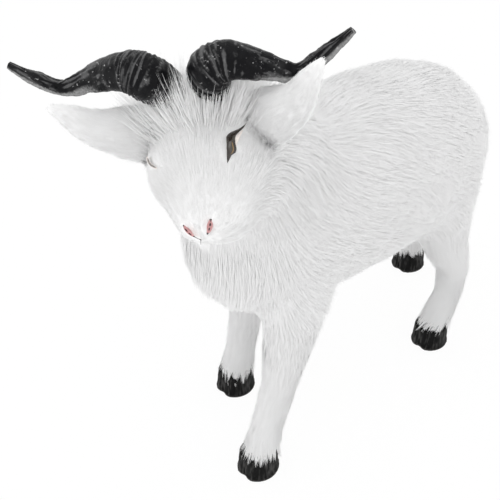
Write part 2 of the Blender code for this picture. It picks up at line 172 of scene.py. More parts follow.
@dataclass(frozen=True)
class Layout:
    """Where the goat's main parts lie, from the same sizes as the part's source."""

    head_middle: Vector = Vector((7, -52, 176)) * MM
    head_turn: float = 50.0
    head_nod: float = 39.0
    head_roll: float = 18.0
    hoof_half_length: float = 11 * MM
    front_left_hoof: Vector = Vector((24.5, -40, 0)) * MM

    def shift(self) -> Vector:
        """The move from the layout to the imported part, read from the front left hoof's box."""
        low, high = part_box("front_left_hoof")
        hoof = Vector(((low.x + high.x) / 2, high.y - self.hoof_half_length, 0.0))
        return hoof - self.front_left_hoof

    def head_axes(self) -> tuple[Vector, Vector, Vector]:
        """Unit vectors: towards the left cheek, down the face, out of the forehead."""
        turn = math.radians(self.head_turn)
        nod = math.radians(self.head_nod)
        roll = math.radians(self.head_roll)
        level = Vector((math.cos(turn), math.sin(turn), 0))
        ahead = Vector((math.sin(turn), -math.cos(turn), 0))
        down = ahead * math.cos(nod) - UP * math.sin(nod)
        brow = ahead * math.sin(nod) + UP * math.cos(nod)
        left = level * math.cos(roll) + brow * math.sin(roll)
        outward = brow * math.cos(roll) - level * math.sin(roll)
        return left, down, outward

    def head_vector(self, local: Vector, side: Side = Side.LEFT, skew: float = 0.0) -> Vector:
        """Turn a vector from the head's own directions, mirrored for the right side and skewed.

        Args:
            local: Left, down the face and out of the forehead.
            side: The side of the head.
            skew: Degrees of turn about the brow.

        Returns:
            The vector in the layout's directions.
        """
        left, down, outward = self.head_axes()
        angle = math.radians(skew)
        skewed_left = left * math.cos(angle) + down * math.sin(angle)
        skewed_down = down * math.cos(angle) - left * math.sin(angle)
        return skewed_left * local.x * side.value + skewed_down * local.y + outward * local.z

    def head_point(self, local: Vector, side: Side = Side.LEFT, skew: float = 0.0, slide: float = 0.0) -> Vector:
        """A point of the head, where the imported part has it.

        Args:
            local: The point in the head's own directions.
            side: The side of the head.
            skew: Degrees of turn about the brow.
            slide: A move towards the left cheek.

        Returns:
            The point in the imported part's frame.
        """
        place = self.head_middle + self.head_vector(local, side, skew) + self.head_axes()[0] * slide
        return place + self.shift()

    def to_head(self, points: np.ndarray) -> np.ndarray:
        """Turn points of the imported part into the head's own directions.

        Args:
            points: Rows of x, y, z.

        Returns:
            Rows of left, down the face, out of the forehead.
        """
        axes = np.array([list(axis) for axis in self.head_axes()])
        return (points - np.array(self.head_middle + self.shift())) @ axes.T


class Socket:
    """A node's output socket that takes part in arithmetic, which adds Math nodes."""

    def __init__(self, graph: "Graph", socket: bpy.types.NodeSocket) -> None:
        """Keep the socket and the graph that it belongs to."""
        self.graph = graph
        self.socket = socket

    def _maths(self, operation: str, *values: "Socket | float") -> "Socket":
        """Add one Math node."""
        return self.graph.node("ShaderNodeMath", {"operation": operation}, dict(enumerate(values)))

    def __add__(self, other: "Socket | float") -> "Socket":
        """Sum."""
        return self._maths("ADD", self, other)

    __radd__ = __add__

    def __mul__(self, other: "Socket | float") -> "Socket":
        """Product."""
        return self._maths("MULTIPLY", self, other)

    __rmul__ = __mul__

    def __sub__(self, other: "Socket | float") -> "Socket":
        """Difference."""
        return self._maths("SUBTRACT", self, other)

    def __rsub__(self, other: "Socket | float") -> "Socket":
        """Difference the other way round."""
        return self._maths("SUBTRACT", other, self)

    def steps(self, low: float, high: float) -> "Socket":
        """Rise smoothly from 0 at low to 1 at high."""
        settings = {"interpolation_type": "SMOOTHSTEP", "clamp": True}
        return self.graph.node("ShaderNodeMapRange", settings, {"Value": self, "From Min": low, "From Max": high})


class Graph:
    """The node tree of one material."""

    let_through = (0.96, 0.96, 0.96, 1.0)

    def __init__(self, name: str) -> None:
        """Start a material whose tree holds only its output."""
        self.material = bpy.data.materials.new(name)
        self.material.use_nodes = True
        self.tree = self.material.node_tree
        self.tree.nodes.clear()
        self.output = self.tree.nodes.new("ShaderNodeOutputMaterial")

    def node(self, kind: str, settings: dict | None = None, inputs: dict | None = None, out: int | str = 0) -> Socket:
        """Add a node.

        Args:
            kind: The node's type.
            settings: Values for its own properties.
            inputs: Values or links by socket name or number.
            out: Which output to hand back.

        Returns:
            That output, ready for arithmetic.
        """
        made = self.tree.nodes.new(kind)
        for name, value in (settings or {}).items():
            setattr(made, name, value)
        for name, value in (inputs or {}).items():
            socket = made.inputs[name]
            if isinstance(value, Socket):
                self.tree.links.new(value.socket, socket)
            else:
                socket.default_value = value
        return Socket(self, made.outputs[out])

    def blend(self, share: Socket | float, first: "Socket | tuple", second: "Socket | tuple") -> Socket:
        """Mix two colours.

        Args:
            share: How much of the second colour.
            first: A colour or a link.
            second: A colour or a link.

        Returns:
            The mixed colour.
        """
        made = self.tree.nodes.new("ShaderNodeMix")
        made.data_type = "RGBA"
        for socket, value in ((made.inputs[0], share), (made.inputs[6], first), (made.inputs[7], second)):
            if isinstance(value, Socket):
                self.tree.links.new(value.socket, socket)
            elif isinstance(value, tuple):
                socket.default_value = (*value, 1.0)
            else:
                socket.default_value = value
        return Socket(self, made.outputs[2])

    def noise(self, scale: float, detail: float = 3.0, stretch: tuple = (1.0, 1.0, 1.0)) -> Socket:
        """Noise over the object's own space.

        Args:
            scale: Cells to a metre.
            detail: Octaves.
            stretch: Scale along X, Y and Z.

        Returns:
            Values about one half.
        """
        place = self.node("ShaderNodeTexCoord", out="Object")
        mapped = self.node("ShaderNodeMapping", inputs={"Vector": place, "Scale": stretch})
        return self.node("ShaderNodeTexNoise", inputs={"Vector": mapped, "Scale": scale, "Detail": detail})

    def attribute(self, name: str) -> Socket:
        """Read a mesh attribute of numbers."""
        return self.node("ShaderNodeAttribute", {"attribute_name": name}, out="Fac")

    def bump(self, height: Socket, strength: float, distance: float) -> Socket:
        """Turn a height into a normal."""
        return self.node("ShaderNodeBump", inputs={"Height": height, "Strength": strength, "Distance": distance})

    def finish(self, inputs: dict, glow: float = 0.0) -> bpy.types.Material:
        """Close the tree with a Principled shader.

        Args:
            inputs: Values or links by socket name.
            glow: The share of light that white hairs let through.

        Returns:
            The material.
        """
        surface = self.node("ShaderNodeBsdfPrincipled", inputs=inputs)
        if glow:
            through = self.node("ShaderNodeBsdfTranslucent", inputs={"Color": self.let_through})
            surface = self.node("ShaderNodeMixShader", inputs={0: glow, 1: surface, 2: through})
        self.tree.links.new(surface.socket, self.output.inputs["Surface"])
        return self.material


@dataclass(frozen=True)
class FurFinish:
    """Hairs: nearly white, a little darker at the root and from hair to hair."""

    root: tuple = (0.935, 0.935, 0.935)
    tip: tuple = (0.95, 0.95, 0.95)
    dull: tuple = (0.92, 0.92, 0.92)
    roughness: float = 0.7
    glow: float = 0.30

    def make(self) -> bpy.types.Material:
        """Build the material, which reads only the hair's own map: tone across, length up."""
        graph = Graph("white fur")
        place = graph.node("ShaderNodeUVMap", {"uv_map": HAIR_MAP})
        tone = graph.node("ShaderNodeSeparateXYZ", inputs={0: place}, out="X")
        along = graph.node("ShaderNodeSeparateXYZ", inputs={0: place}, out="Y")
        colour = graph.blend(along.steps(0.0, 0.7), self.root, self.tip)
        colour = graph.blend(tone.steps(0.7, 1.0) * 0.6, colour, self.dull)
        inputs = {"Base Color": colour, "Roughness": self.roughness, "Specular IOR Level": 0.25}
        return graph.finish(inputs, self.glow)


@dataclass(frozen=True)
class SkinFinish:
    """The hide under the fur: pale grey, pink at the bare rims of nostrils, black over the hooves."""

    hide: tuple = (0.92, 0.92, 0.92)
    shade: tuple = (0.88, 0.88, 0.88)
    rim: tuple = (0.80, 0.60, 0.56)
    sock: tuple = (0.008, 0.008, 0.008)
    roughness: float = 0.85

    def make(self) -> bpy.types.Material:
        """Build the material from the mesh's bare and sock attributes and a fine grain."""
        graph = Graph("hide")
        grain = graph.noise(900.0)
        hide = graph.blend(grain.steps(0.3, 0.7) * 0.25, self.hide, self.shade)
        colour = graph.blend(graph.attribute("bare"), hide, self.rim)
        colour = graph.blend(graph.attribute("sock"), colour, self.sock)
        normal = graph.bump(grain, 0.3, 0.2 * MM)
        return graph.finish({"Base Color": colour, "Roughness": self.roughness, "Normal": normal})


@dataclass(frozen=True)
class HornFinish:
    """Moulded black horn with a gloss and specks of dust; its grey on the ridges, edges and lower side is partly
    scuffing and partly painted highlight, and it carries painted highlight lines and painted sheen patches.
    """

    dark: tuple = (0.004, 0.004, 0.005)
    # the next three colours are a painted sheen, a painted highlight, and a pale grey that is partly scuffing and
    # partly painted highlight
    painted_sheen: tuple = (0.016, 0.016, 0.017)
    streak: tuple = (0.11, 0.11, 0.112)
    worn_and_highlit: tuple = (0.34, 0.34, 0.34)
    speck: tuple = (0.45, 0.45, 0.45)
    roughness: float = 0.28

    def make(self) -> bpy.types.Material:
        """Build the material from the mesh's attributes of scuffing with painted highlight and of painted highlight
        lines, and noise.
        """
        graph = Graph("black horn")
        cloud = graph.noise(160.0, 4.0)
        fine = graph.noise(1000.0, 4.0)
        # painted sheen: cloudy, slightly paler patches stand in for gloss reflections
        colour = graph.blend(cloud.steps(0.50, 0.75), self.dark, self.painted_sheen)
        # painted highlight: paler lines on the ridges and blade stand in for gloss reflections
        highlight_streaks = (graph.attribute("streak") * 0.8 + fine * 0.35).steps(0.60, 0.92)
        colour = graph.blend(highlight_streaks * 0.8, colour, self.streak)
        # partly scuffing, partly painted highlight: pale grey on the ridge crests, the edges and the lower side
        wear = (graph.attribute("wear") * (0.15 + fine + cloud * 0.5)).steps(0.35, 1.05)
        colour = graph.blend(wear * 0.85, colour, self.worn_and_highlit)
        specks = fine.steps(0.63, 0.70) * cloud.steps(0.46, 0.56)
        colour = graph.blend(specks * 0.8, colour, self.speck)
        rough = self.roughness + 0.30 * wear + 0.12 * cloud
        normal = graph.bump(fine + cloud * 1.5, 0.4, 0.4 * MM)
        inputs = {"Base Color": colour, "Roughness": rough, "Normal": normal, "Specular IOR Level": 0.1}
        return graph.finish(inputs)


@dataclass(frozen=True)
class HoofFinish:
    """Black hoof of fine upright strands, with a grey rim at the sole."""

    dark: tuple = (0.005, 0.005, 0.005)
    strand: tuple = (0.050, 0.049, 0.048)
    rim: tuple = (0.12, 0.115, 0.11)
    roughness: float = 0.55

    def make(self) -> bpy.types.Material:
        """Build the material from the mesh's strand and rim attributes."""
        graph = Graph("black hoof")
        fine = graph.noise(1400.0, 3.0, (1.0, 1.0, 0.25))
        strand = (graph.attribute("strand") * 0.7 + fine * 0.5).steps(0.50, 0.95)
        colour = graph.blend(strand, self.dark, self.strand)
        colour = graph.blend(graph.attribute("rim") * 0.7, colour, self.rim)
        normal = graph.bump(fine, 0.5, 0.3 * MM)
        inputs = {"Base Color": colour, "Roughness": self.roughness, "Normal": normal, "Specular IOR Level": 0.08}
        return graph.finish(inputs)


@dataclass(frozen=True)
class EyeFinish:
    """Polished dark brown eye with a thin amber crescent and a painted grey highlight."""

    brown: tuple = (0.020, 0.014, 0.010)
    amber: tuple = (0.32, 0.20, 0.08)
    # the olive iris and a painted highlight share this colour
    grey: tuple = (0.085, 0.078, 0.066)
    lid: tuple = (0.86, 0.79, 0.75)

    def make(self) -> bpy.types.Material:
        """Build the material from the mesh's amber, grey and lid attributes; grey holds the olive iris and the
        painted highlight.
        """
        graph = Graph("amber eye")
        fibres = graph.noise(3500.0, 2.0)
        colour = graph.blend(graph.attribute("grey") * (0.4 + fibres), self.brown, self.grey)
        colour = graph.blend(graph.attribute("amber"), colour, self.amber)
        bare = graph.attribute("lid")
        colour = graph.blend(bare, colour, self.lid)
        rough = 0.18 + 0.5 * bare
        gloss = 0.4 * (1 - bare)
        return graph.finish({"Base Color": colour, "Roughness": rough, "Coat Weight": gloss, "Coat Roughness": 0.05})


@dataclass(frozen=True)
class NostrilFinish:
    """Bare pink skin, nearly black along the slit."""

    pink: tuple = (0.62, 0.34, 0.34)
    slit: tuple = (0.035, 0.020, 0.024)

    def make(self) -> bpy.types.Material:
        """Build the material from the mesh's slit attribute."""
        graph = Graph("pink nostril")
        grain = graph.noise(2600.0, 2.0)
        share = (graph.attribute("slit") * 0.9 + grain * 0.35).steps(0.45, 0.80)
        colour = graph.blend(share, self.pink, self.slit)
        return graph.finish({"Base Color": colour, "Roughness": 0.5, "Normal": graph.bump(grain, 0.3, 0.2 * MM)})


@dataclass
class Finishes:
    """Every material of the goat, made once."""

    fur: bpy.types.Material = field(default_factory=lambda: FurFinish().make())
    hide: bpy.types.Material = field(default_factory=lambda: SkinFinish().make())
    horn: bpy.types.Material = field(default_factory=lambda: HornFinish().make())
    hoof: bpy.types.Material = field(default_factory=lambda: HoofFinish().make())
    eye: bpy.types.Material = field(default_factory=lambda: EyeFinish().make())
    nostril: bpy.types.Material = field(default_factory=lambda: NostrilFinish().make())


def add_piece(data: bpy.types.Mesh, slot: Slot, material: bpy.types.Material, *nodes: str) -> bpy.types.Object:
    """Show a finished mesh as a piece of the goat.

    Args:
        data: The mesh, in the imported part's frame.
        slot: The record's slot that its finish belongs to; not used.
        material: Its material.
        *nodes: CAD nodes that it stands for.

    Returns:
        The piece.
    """
    piece = bpy.data.objects.new(data.name, data)
    bpy.context.scene.collection.objects.link(piece)
    data.materials.clear()
    data.materials.append(material)
    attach(piece, BODY)
    if nodes:
        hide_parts(*nodes)
    data.calc_loop_triangles()
    log.info("%s: %d triangles", piece.name, len(data.loop_triangles))
    return piece


def fine_copy(voxel: float, softening: int, *nodes: str) -> bpy.types.Mesh:
    """Copy the joint shape of CAD nodes as one even, finer mesh.

    Args:
        voxel: The size of the new faces.
        softening: Rounds of smoothing.
        *nodes: The nodes' names.

    Returns:
        The mesh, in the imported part's frame.
    """
    joined = bmesh.new()
    for node in nodes:
        joined.from_mesh(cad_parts[node].data)
    shape = bpy.data.meshes.new("working")
    joined.to_mesh(shape)
    joined.free()
    working = bpy.data.objects.new("working", shape)
    bpy.context.scene.collection.objects.link(working)
    even = working.modifiers.new("Even", "REMESH")
    even.mode = "VOXEL"
    even.voxel_size = voxel
    soften = working.modifiers.new("Soften", "SMOOTH")
    soften.factor = 0.5
    soften.iterations = softening
    graph = bpy.context.evaluated_depsgraph_get()
    data = bpy.data.meshes.new_from_object(working.evaluated_get(graph))
    bpy.data.objects.remove(working)
    return data


def solid_tree(node: str) -> BVHTree:
    """A CAD node's surface, ready for distances and rays."""
    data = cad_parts[node].data
    return BVHTree.FromPolygons([vert.co for vert in data.vertices], [face.vertices for face in data.polygons])


def gaps_from(tree: BVHTree, points: np.ndarray, limit: float) -> np.ndarray:
    """Distances of points from a closed shape, below zero inside it.

    Args:
        tree: The shape.
        points: Rows of x, y, z.
        limit: The distance past which nothing is measured.

    Returns:
        A distance for each point, at most the limit.
    """
    gaps = np.full(len(points), limit)
    for number, point in enumerate(points):
        point = Vector(point)
        place, normal, _, gap = tree.find_nearest(point, limit)
        if place is not None:
            gaps[number] = gap if (point - place).dot(normal) > 0 else -gap
    return gaps


def set_marks(data: bpy.types.Mesh, marks: dict) -> None:
    """Write a mesh's attributes of numbers.

    Args:
        data: The mesh.
        marks: Values by attribute name, one a point.
    """
    for name, values in marks.items():
        layer = data.attributes.new(name, "FLOAT", "POINT")
        layer.data.foreach_set("value", np.clip(values, 0.0, 1.0).astype(np.float32))


def ring_mesh(name: str, rings: list[list[Vector]], marks: dict[str, list[float]]) -> bpy.types.Mesh:
    """Skin a row of equal rings and close both ends with a fan.

    Args:
        name: The mesh's name.
        rings: Rings of points, all of one length.
        marks: Attributes by name, with a number for each point, ring after ring.

    Returns:
        A smooth shaded mesh whose faces point out.
    """
    mesh = bmesh.new()
    layers = {mark: mesh.verts.layers.float.new(mark) for mark in marks}
    loops = []
    for index, ring in enumerate(rings):
        loop = []
        for step, point in enumerate(ring):
            vert = mesh.verts.new(point)
            for mark, layer in layers.items():
                vert[layer] = marks[mark][index * len(ring) + step]
            loop.append(vert)
        loops.append(loop)
    count = len(loops[0])
    for near, far in zip(loops, loops[1:]):
        for step in range(count):
            after = (step + 1) % count
            mesh.faces.new((near[step], near[after], far[after], far[step]))
    for loop in (loops[0], loops[-1]):
        middle = mesh.verts.new(sum((vert.co for vert in loop), Vector()) / count)
        for mark, layer in layers.items():
            middle[layer] = loop[0][layer]
        for step in range(count):
            mesh.faces.new((loop[step], loop[(step + 1) % count], middle))
    bmesh.ops.recalc_face_normals(mesh, faces=mesh.faces)
    if mesh.calc_volume(signed=True) < 0:
        bmesh.ops.reverse_faces(mesh, faces=mesh.faces)
    data = bpy.data.meshes.new(name)
    mesh.to_mesh(data)
    mesh.free()
    data.shade_smooth()
    return data


@dataclass
class Surface:
    """A triangulated surface as arrays, which fur grows from."""

    points: np.ndarray
    normals: np.ndarray
    triangles: np.ndarray

    @classmethod
    def of(cls, data: bpy.types.Mesh) -> "Surface":
        """Read a mesh.

        Args:
            data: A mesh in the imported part's frame.

        Returns:
            Its surface.
        """
        data.calc_loop_triangles()
        points = np.empty(len(data.vertices) * 3)
        data.vertices.foreach_get("co", points)
        normals = np.empty(len(data.vertices) * 3)
        data.vertices.foreach_get("normal", normals)
        triangles = np.empty(len(data.loop_triangles) * 3, dtype=np.int64)
        data.loop_triangles.foreach_get("vertices", triangles)
        return cls(points.reshape(-1, 3), normals.reshape(-1, 3), triangles.reshape(-1, 3))

    def areas(self) -> np.ndarray:
        """The area of each triangle."""
        first, second, third = (self.points[self.triangles[:, corner]] for corner in range(3))
        return np.linalg.norm(np.cross(second - first, third - first), axis=1) / 2

    def smooth(self, values: np.ndarray, rounds: int) -> np.ndarray:
        """Even out values over neighbouring points.

        Args:
            values: One row a point.
            rounds: How many times.

        Returns:
            The evened values.
        """
        pairs = np.vstack([self.triangles[:, [0, 1]], self.triangles[:, [1, 2]], self.triangles[:, [2, 0]]])
        counts = np.bincount(pairs[:, 0], minlength=len(self.points)) + np.bincount(
            pairs[:, 1], minlength=len(self.points))
        for _ in range(rounds):
            total = values.copy()
            np.add.at(total, pairs[:, 0], values[pairs[:, 1]])
            np.add.at(total, pairs[:, 1], values[pairs[:, 0]])
            shape = (-1,) + (1,) * (values.ndim - 1)
            values = total / (counts + 1.0).reshape(shape)
        return values


@dataclass(frozen=True)
class Style:
    """How fur grows: its length and width in millimetres, its rise in degrees, hairs to a square millimetre."""

    length: float
    lift: float
    density: float
    clump: float
    width: float


@dataclass
class Growth:
    """How hair grows at each point of a surface."""

    flow: np.ndarray
    length: np.ndarray
    lift: np.ndarray
    density: np.ndarray
    clump: np.ndarray
    width: np.ndarray

    def at(self, corners: np.ndarray, shares: np.ndarray) -> "Growth":
        """Read the growth inside triangles.

        Args:
            corners: Point numbers of each hair's triangle.
            shares: How much of each corner.

        Returns:
            The growth of each hair.
        """
        def read(values: np.ndarray) -> np.ndarray:
            weights = shares if values.ndim == 1 else shares[:, :, None]
            return (values[corners] * weights).sum(axis=1)

        return Growth(*(read(values) for values in (self.flow, self.length, self.lift, self.density, self.clump,
                                                    self.width)))

    @classmethod
    def even(cls, style: Style, flow: np.ndarray, share: np.ndarray) -> "Growth":
        """The same hair all over.

        Args:
            style: How it grows.
            flow: The way that it runs at each point.
            share: How much of the style's density each point has.

        Returns:
            The growth.
        """
        count = len(flow)
        return cls(flow, np.full(count, style.length * MM), np.full(count, style.lift),
                   share * style.density / MM ** 2, np.full(count, style.clump), np.full(count, style.width * MM))


@dataclass
class HairMaker:
    """Turns growth over a surface into thin ribbons, one a hair, gathered into locks."""

    seed: int = 11
    sway: float = 0.06
    droop: float = 0.55
    twist: float = 0.08
    tone_half: float = 0.004
    fold: float = 0.11
    fold_scales: tuple = (75.0, 190.0)
    length_spread: float = 0.16
    lift_spread: float = 0.25
    pull_spread: float = 0.3
    pull_power: float = 1.3
    width_spread: float = 0.2
    narrowing: float = 0.45
    own_face: tuple = (0.07, 0.85)
    steep_from: float = 0.25
    steep_over: float = 0.5

    def make(self, name: str, surface: Surface, growth: Growth, faces: np.ndarray, lock_size: float,
             joints: int = 3) -> bpy.types.Mesh:
        """Grow the hair of one piece.

        Args:
            name: The mesh's name.
            surface: Where it grows.
            growth: How it grows.
            faces: The triangles that belong to this piece.
            lock_size: The distance between locks.
            joints: Points along a hair, root and tip counted.

        Returns:
            A mesh of ribbons with the map OFBake.
        """
        draw = np.random.default_rng(self.seed + sum(name.encode()))
        areas = surface.areas()[faces]
        corners = surface.triangles[faces]
        amounts = areas * growth.density[corners].mean(axis=1)
        counts = draw.poisson(amounts)
        owner = np.repeat(np.arange(len(faces)), counts)
        shares = draw.dirichlet((1.0, 1.0, 1.0), len(owner))
        corners = corners[owner]
        roots = (surface.points[corners] * shares[:, :, None]).sum(axis=1)
        normals = unit((surface.normals[corners] * shares[:, :, None]).sum(axis=1))
        grown = growth.at(corners, shares)
        lines = self._lines(draw, roots, normals, grown, joints)
        lines = self._gather(draw, lines, grown, lock_size)
        wide, fine = self.fold_scales
        folds = np.array([noise.noise_vector(Vector(root) * wide) + noise.noise_vector(Vector(root) * fine) * 0.5
                          for root in roots])
        return self._ribbons(draw, name, lines, unit(normals + folds * self.fold), grown)

    def _lines(self, draw: np.random.Generator, roots: np.ndarray, normals: np.ndarray, grown: Growth,
               joints: int) -> np.ndarray:
        """Lay out each hair's middle line, bent down towards the tip."""
        amount = len(roots)
        flow = grown.flow - normals * (grown.flow * normals).sum(axis=1, keepdims=True)
        flow = unit(flow + draw.normal(0.0, self.sway, (amount, 3)))
        length = grown.length * np.clip(draw.normal(1.0, self.length_spread, amount), 0.55, 1.4)
        lift = np.radians(grown.lift * np.clip(draw.normal(1.0, self.lift_spread, amount), 0.3, 1.9))
        lines = np.empty((amount, joints, 3))
        lines[:, 0] = roots
        for joint in range(1, joints):
            share = (joint - 0.5) / (joints - 1)
            angle = lift * (1.0 + self.droop * (1.0 - 2.0 * share))
            way = flow * np.cos(angle)[:, None] + normals * np.sin(angle)[:, None]
            lines[:, joint] = lines[:, joint - 1] + way * (length / (joints - 1))[:, None]
        return lines

    def _gather(self, draw: np.random.Generator, lines: np.ndarray, grown: Growth, lock_size: float) -> np.ndarray:
        """Draw the hairs of each lock together towards their tips."""
        amount = len(lines)
        roots = lines[:, 0]
        low = roots.min(axis=0)
        cells = np.floor((roots - low) / lock_size).astype(np.int64)
        keys = (cells[:, 0] * 4096 + cells[:, 1]) * 4096 + cells[:, 2]
        order = draw.permutation(amount)
        _, chosen = np.unique(keys[order], return_index=True)
        leaders = order[chosen]
        tree = kdtree.KDTree(len(leaders))
        for number, leader in enumerate(leaders):
            tree.insert(roots[leader], number)
        tree.balance()
        nearest = np.array([leaders[tree.find(root)[1]] for root in roots])
        pull = grown.clump * np.clip(draw.normal(1.0, self.pull_spread, amount), 0.0, 1.5)
        joints = lines.shape[1]
        gathered = lines.copy()
        for joint in range(1, joints):
            share = (joint / (joints - 1)) ** self.pull_power
            amount_pulled = np.clip(pull * share, 0.0, 0.95)[:, None]
            gathered[:, joint] += (lines[nearest, joint] - lines[:, joint]) * amount_pulled
        return gathered

    def _ribbons(self, draw: np.random.Generator, name: str, lines: np.ndarray, normals: np.ndarray,
                 grown: Growth) -> bpy.types.Mesh:
        """Give each line a tapering width, and write the mesh in one go."""
        amount, joints, _ = lines.shape
        along = unit(lines[:, -1] - lines[:, 0])
        across = unit(np.cross(along, normals))
        turn = np.clip(draw.normal(0.0, self.twist, amount), -1.2, 1.2)[:, None]
        side = unit(across * np.cos(turn) + np.cross(along, across) * np.sin(turn))
        half = grown.width * np.clip(draw.normal(1.0, self.width_spread, amount), 0.5, 1.6) / 2
        spots = []
        for joint in range(joints - 1):
            wide = half * (1.0 - self.narrowing * joint / (joints - 1))
            spots.append(lines[:, joint] - side * wide[:, None])
            spots.append(lines[:, joint] + side * wide[:, None])
        spots.append(lines[:, -1])
        points = np.stack(spots, axis=1)
        per_hair = points.shape[1]
        pattern = []
        sizes = []
        for joint in range(joints - 2):
            at = 2 * joint
            pattern.extend((at, at + 1, at + 3, at + 2))
            sizes.append(4)
        pattern.extend((per_hair - 3, per_hair - 2, per_hair - 1))
        sizes.append(3)
        corners = (np.array(pattern)[None, :] + per_hair * np.arange(amount)[:, None]).ravel()
        totals = np.tile(sizes, amount)
        starts = np.concatenate(([0], np.cumsum(totals)[:-1]))
        data = bpy.data.meshes.new(name)
        data.vertices.add(amount * per_hair)
        data.vertices.foreach_set("co", points.ravel().astype(np.float32))
        data.loops.add(len(corners))
        data.loops.foreach_set("vertex_index", corners.astype(np.int32))
        data.polygons.add(len(totals))
        data.polygons.foreach_set("loop_start", starts.astype(np.int32))
        data.polygons.foreach_set("use_smooth", np.ones(len(totals), dtype=bool))
        data.update(calc_edges=True)
        self._map(draw, data, pattern, amount, joints)
        self._shade(data, normals, np.cross(side, along), (along * normals).sum(axis=1), per_hair)
        return data

    def _map(self, draw: np.random.Generator, data: bpy.types.Mesh, pattern: list[int], amount: int,
             joints: int) -> None:
        """Write the map: the hair's tone across, and the way from root to tip up."""
        tones = np.clip(draw.beta(2.0, 3.0, amount), 0.01, 0.99)
        heights = np.repeat(np.arange(joints), 2)[:2 * joints - 1] / (joints - 1)
        sides = np.array([-1.0, 1.0] * (joints - 1) + [0.0])
        across = tones[:, None] + sides[pattern][None, :] * self.tone_half
        up = np.broadcast_to(heights[pattern][None, :], across.shape)
        layer = data.uv_layers.new(name=HAIR_MAP)
        layer.data.foreach_set("uv", np.stack([across, up], axis=2).ravel().astype(np.float32))

    def _shade(self, data: bpy.types.Mesh, normals: np.ndarray, facing: np.ndarray, steep: np.ndarray,
               per_hair: int) -> None:
        """Shade flat hairs by the surface under them, as one form, and steep ones by their own face."""
        least, more = self.own_face
        own = (least + more * np.clip((np.abs(steep) - self.steep_from) / self.steep_over, 0.0, 1.0))[:, None]
        shown = unit(normals * (1.0 - own) + unit(facing) * own)
        data.normals_split_custom_set_from_vertices(np.repeat(shown, per_hair, axis=0).astype(np.float32))


@dataclass
class Bone:
    """A line inside the goat that fur flows along."""

    points: tuple
    radius: float

    def reach(self, places: np.ndarray, shift: np.ndarray) -> tuple[np.ndarray, np.ndarray]:
        """Measure how near points are, and which way the line runs there.

        Args:
            places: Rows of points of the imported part.
            shift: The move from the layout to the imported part.

        Returns:
            Weights, and the line's direction at each point.
        """
        best = np.full(len(places), np.inf)
        ways = np.zeros((len(places), 3))
        for start, end in zip(self.points, self.points[1:]):
            first = np.array(start) * MM + shift
            run = (np.array(end) - np.array(start)) * MM
            share = np.clip(((places - first) @ run) / (run @ run), 0.0, 1.0)
            gaps = np.linalg.norm(places - (first + share[:, None] * run), axis=1)
            nearer = gaps < best
            best[nearer] = gaps[nearer]
            ways[nearer] = run / np.linalg.norm(run)
        return (self.radius / np.maximum(best, 1e-4)) ** 6, ways


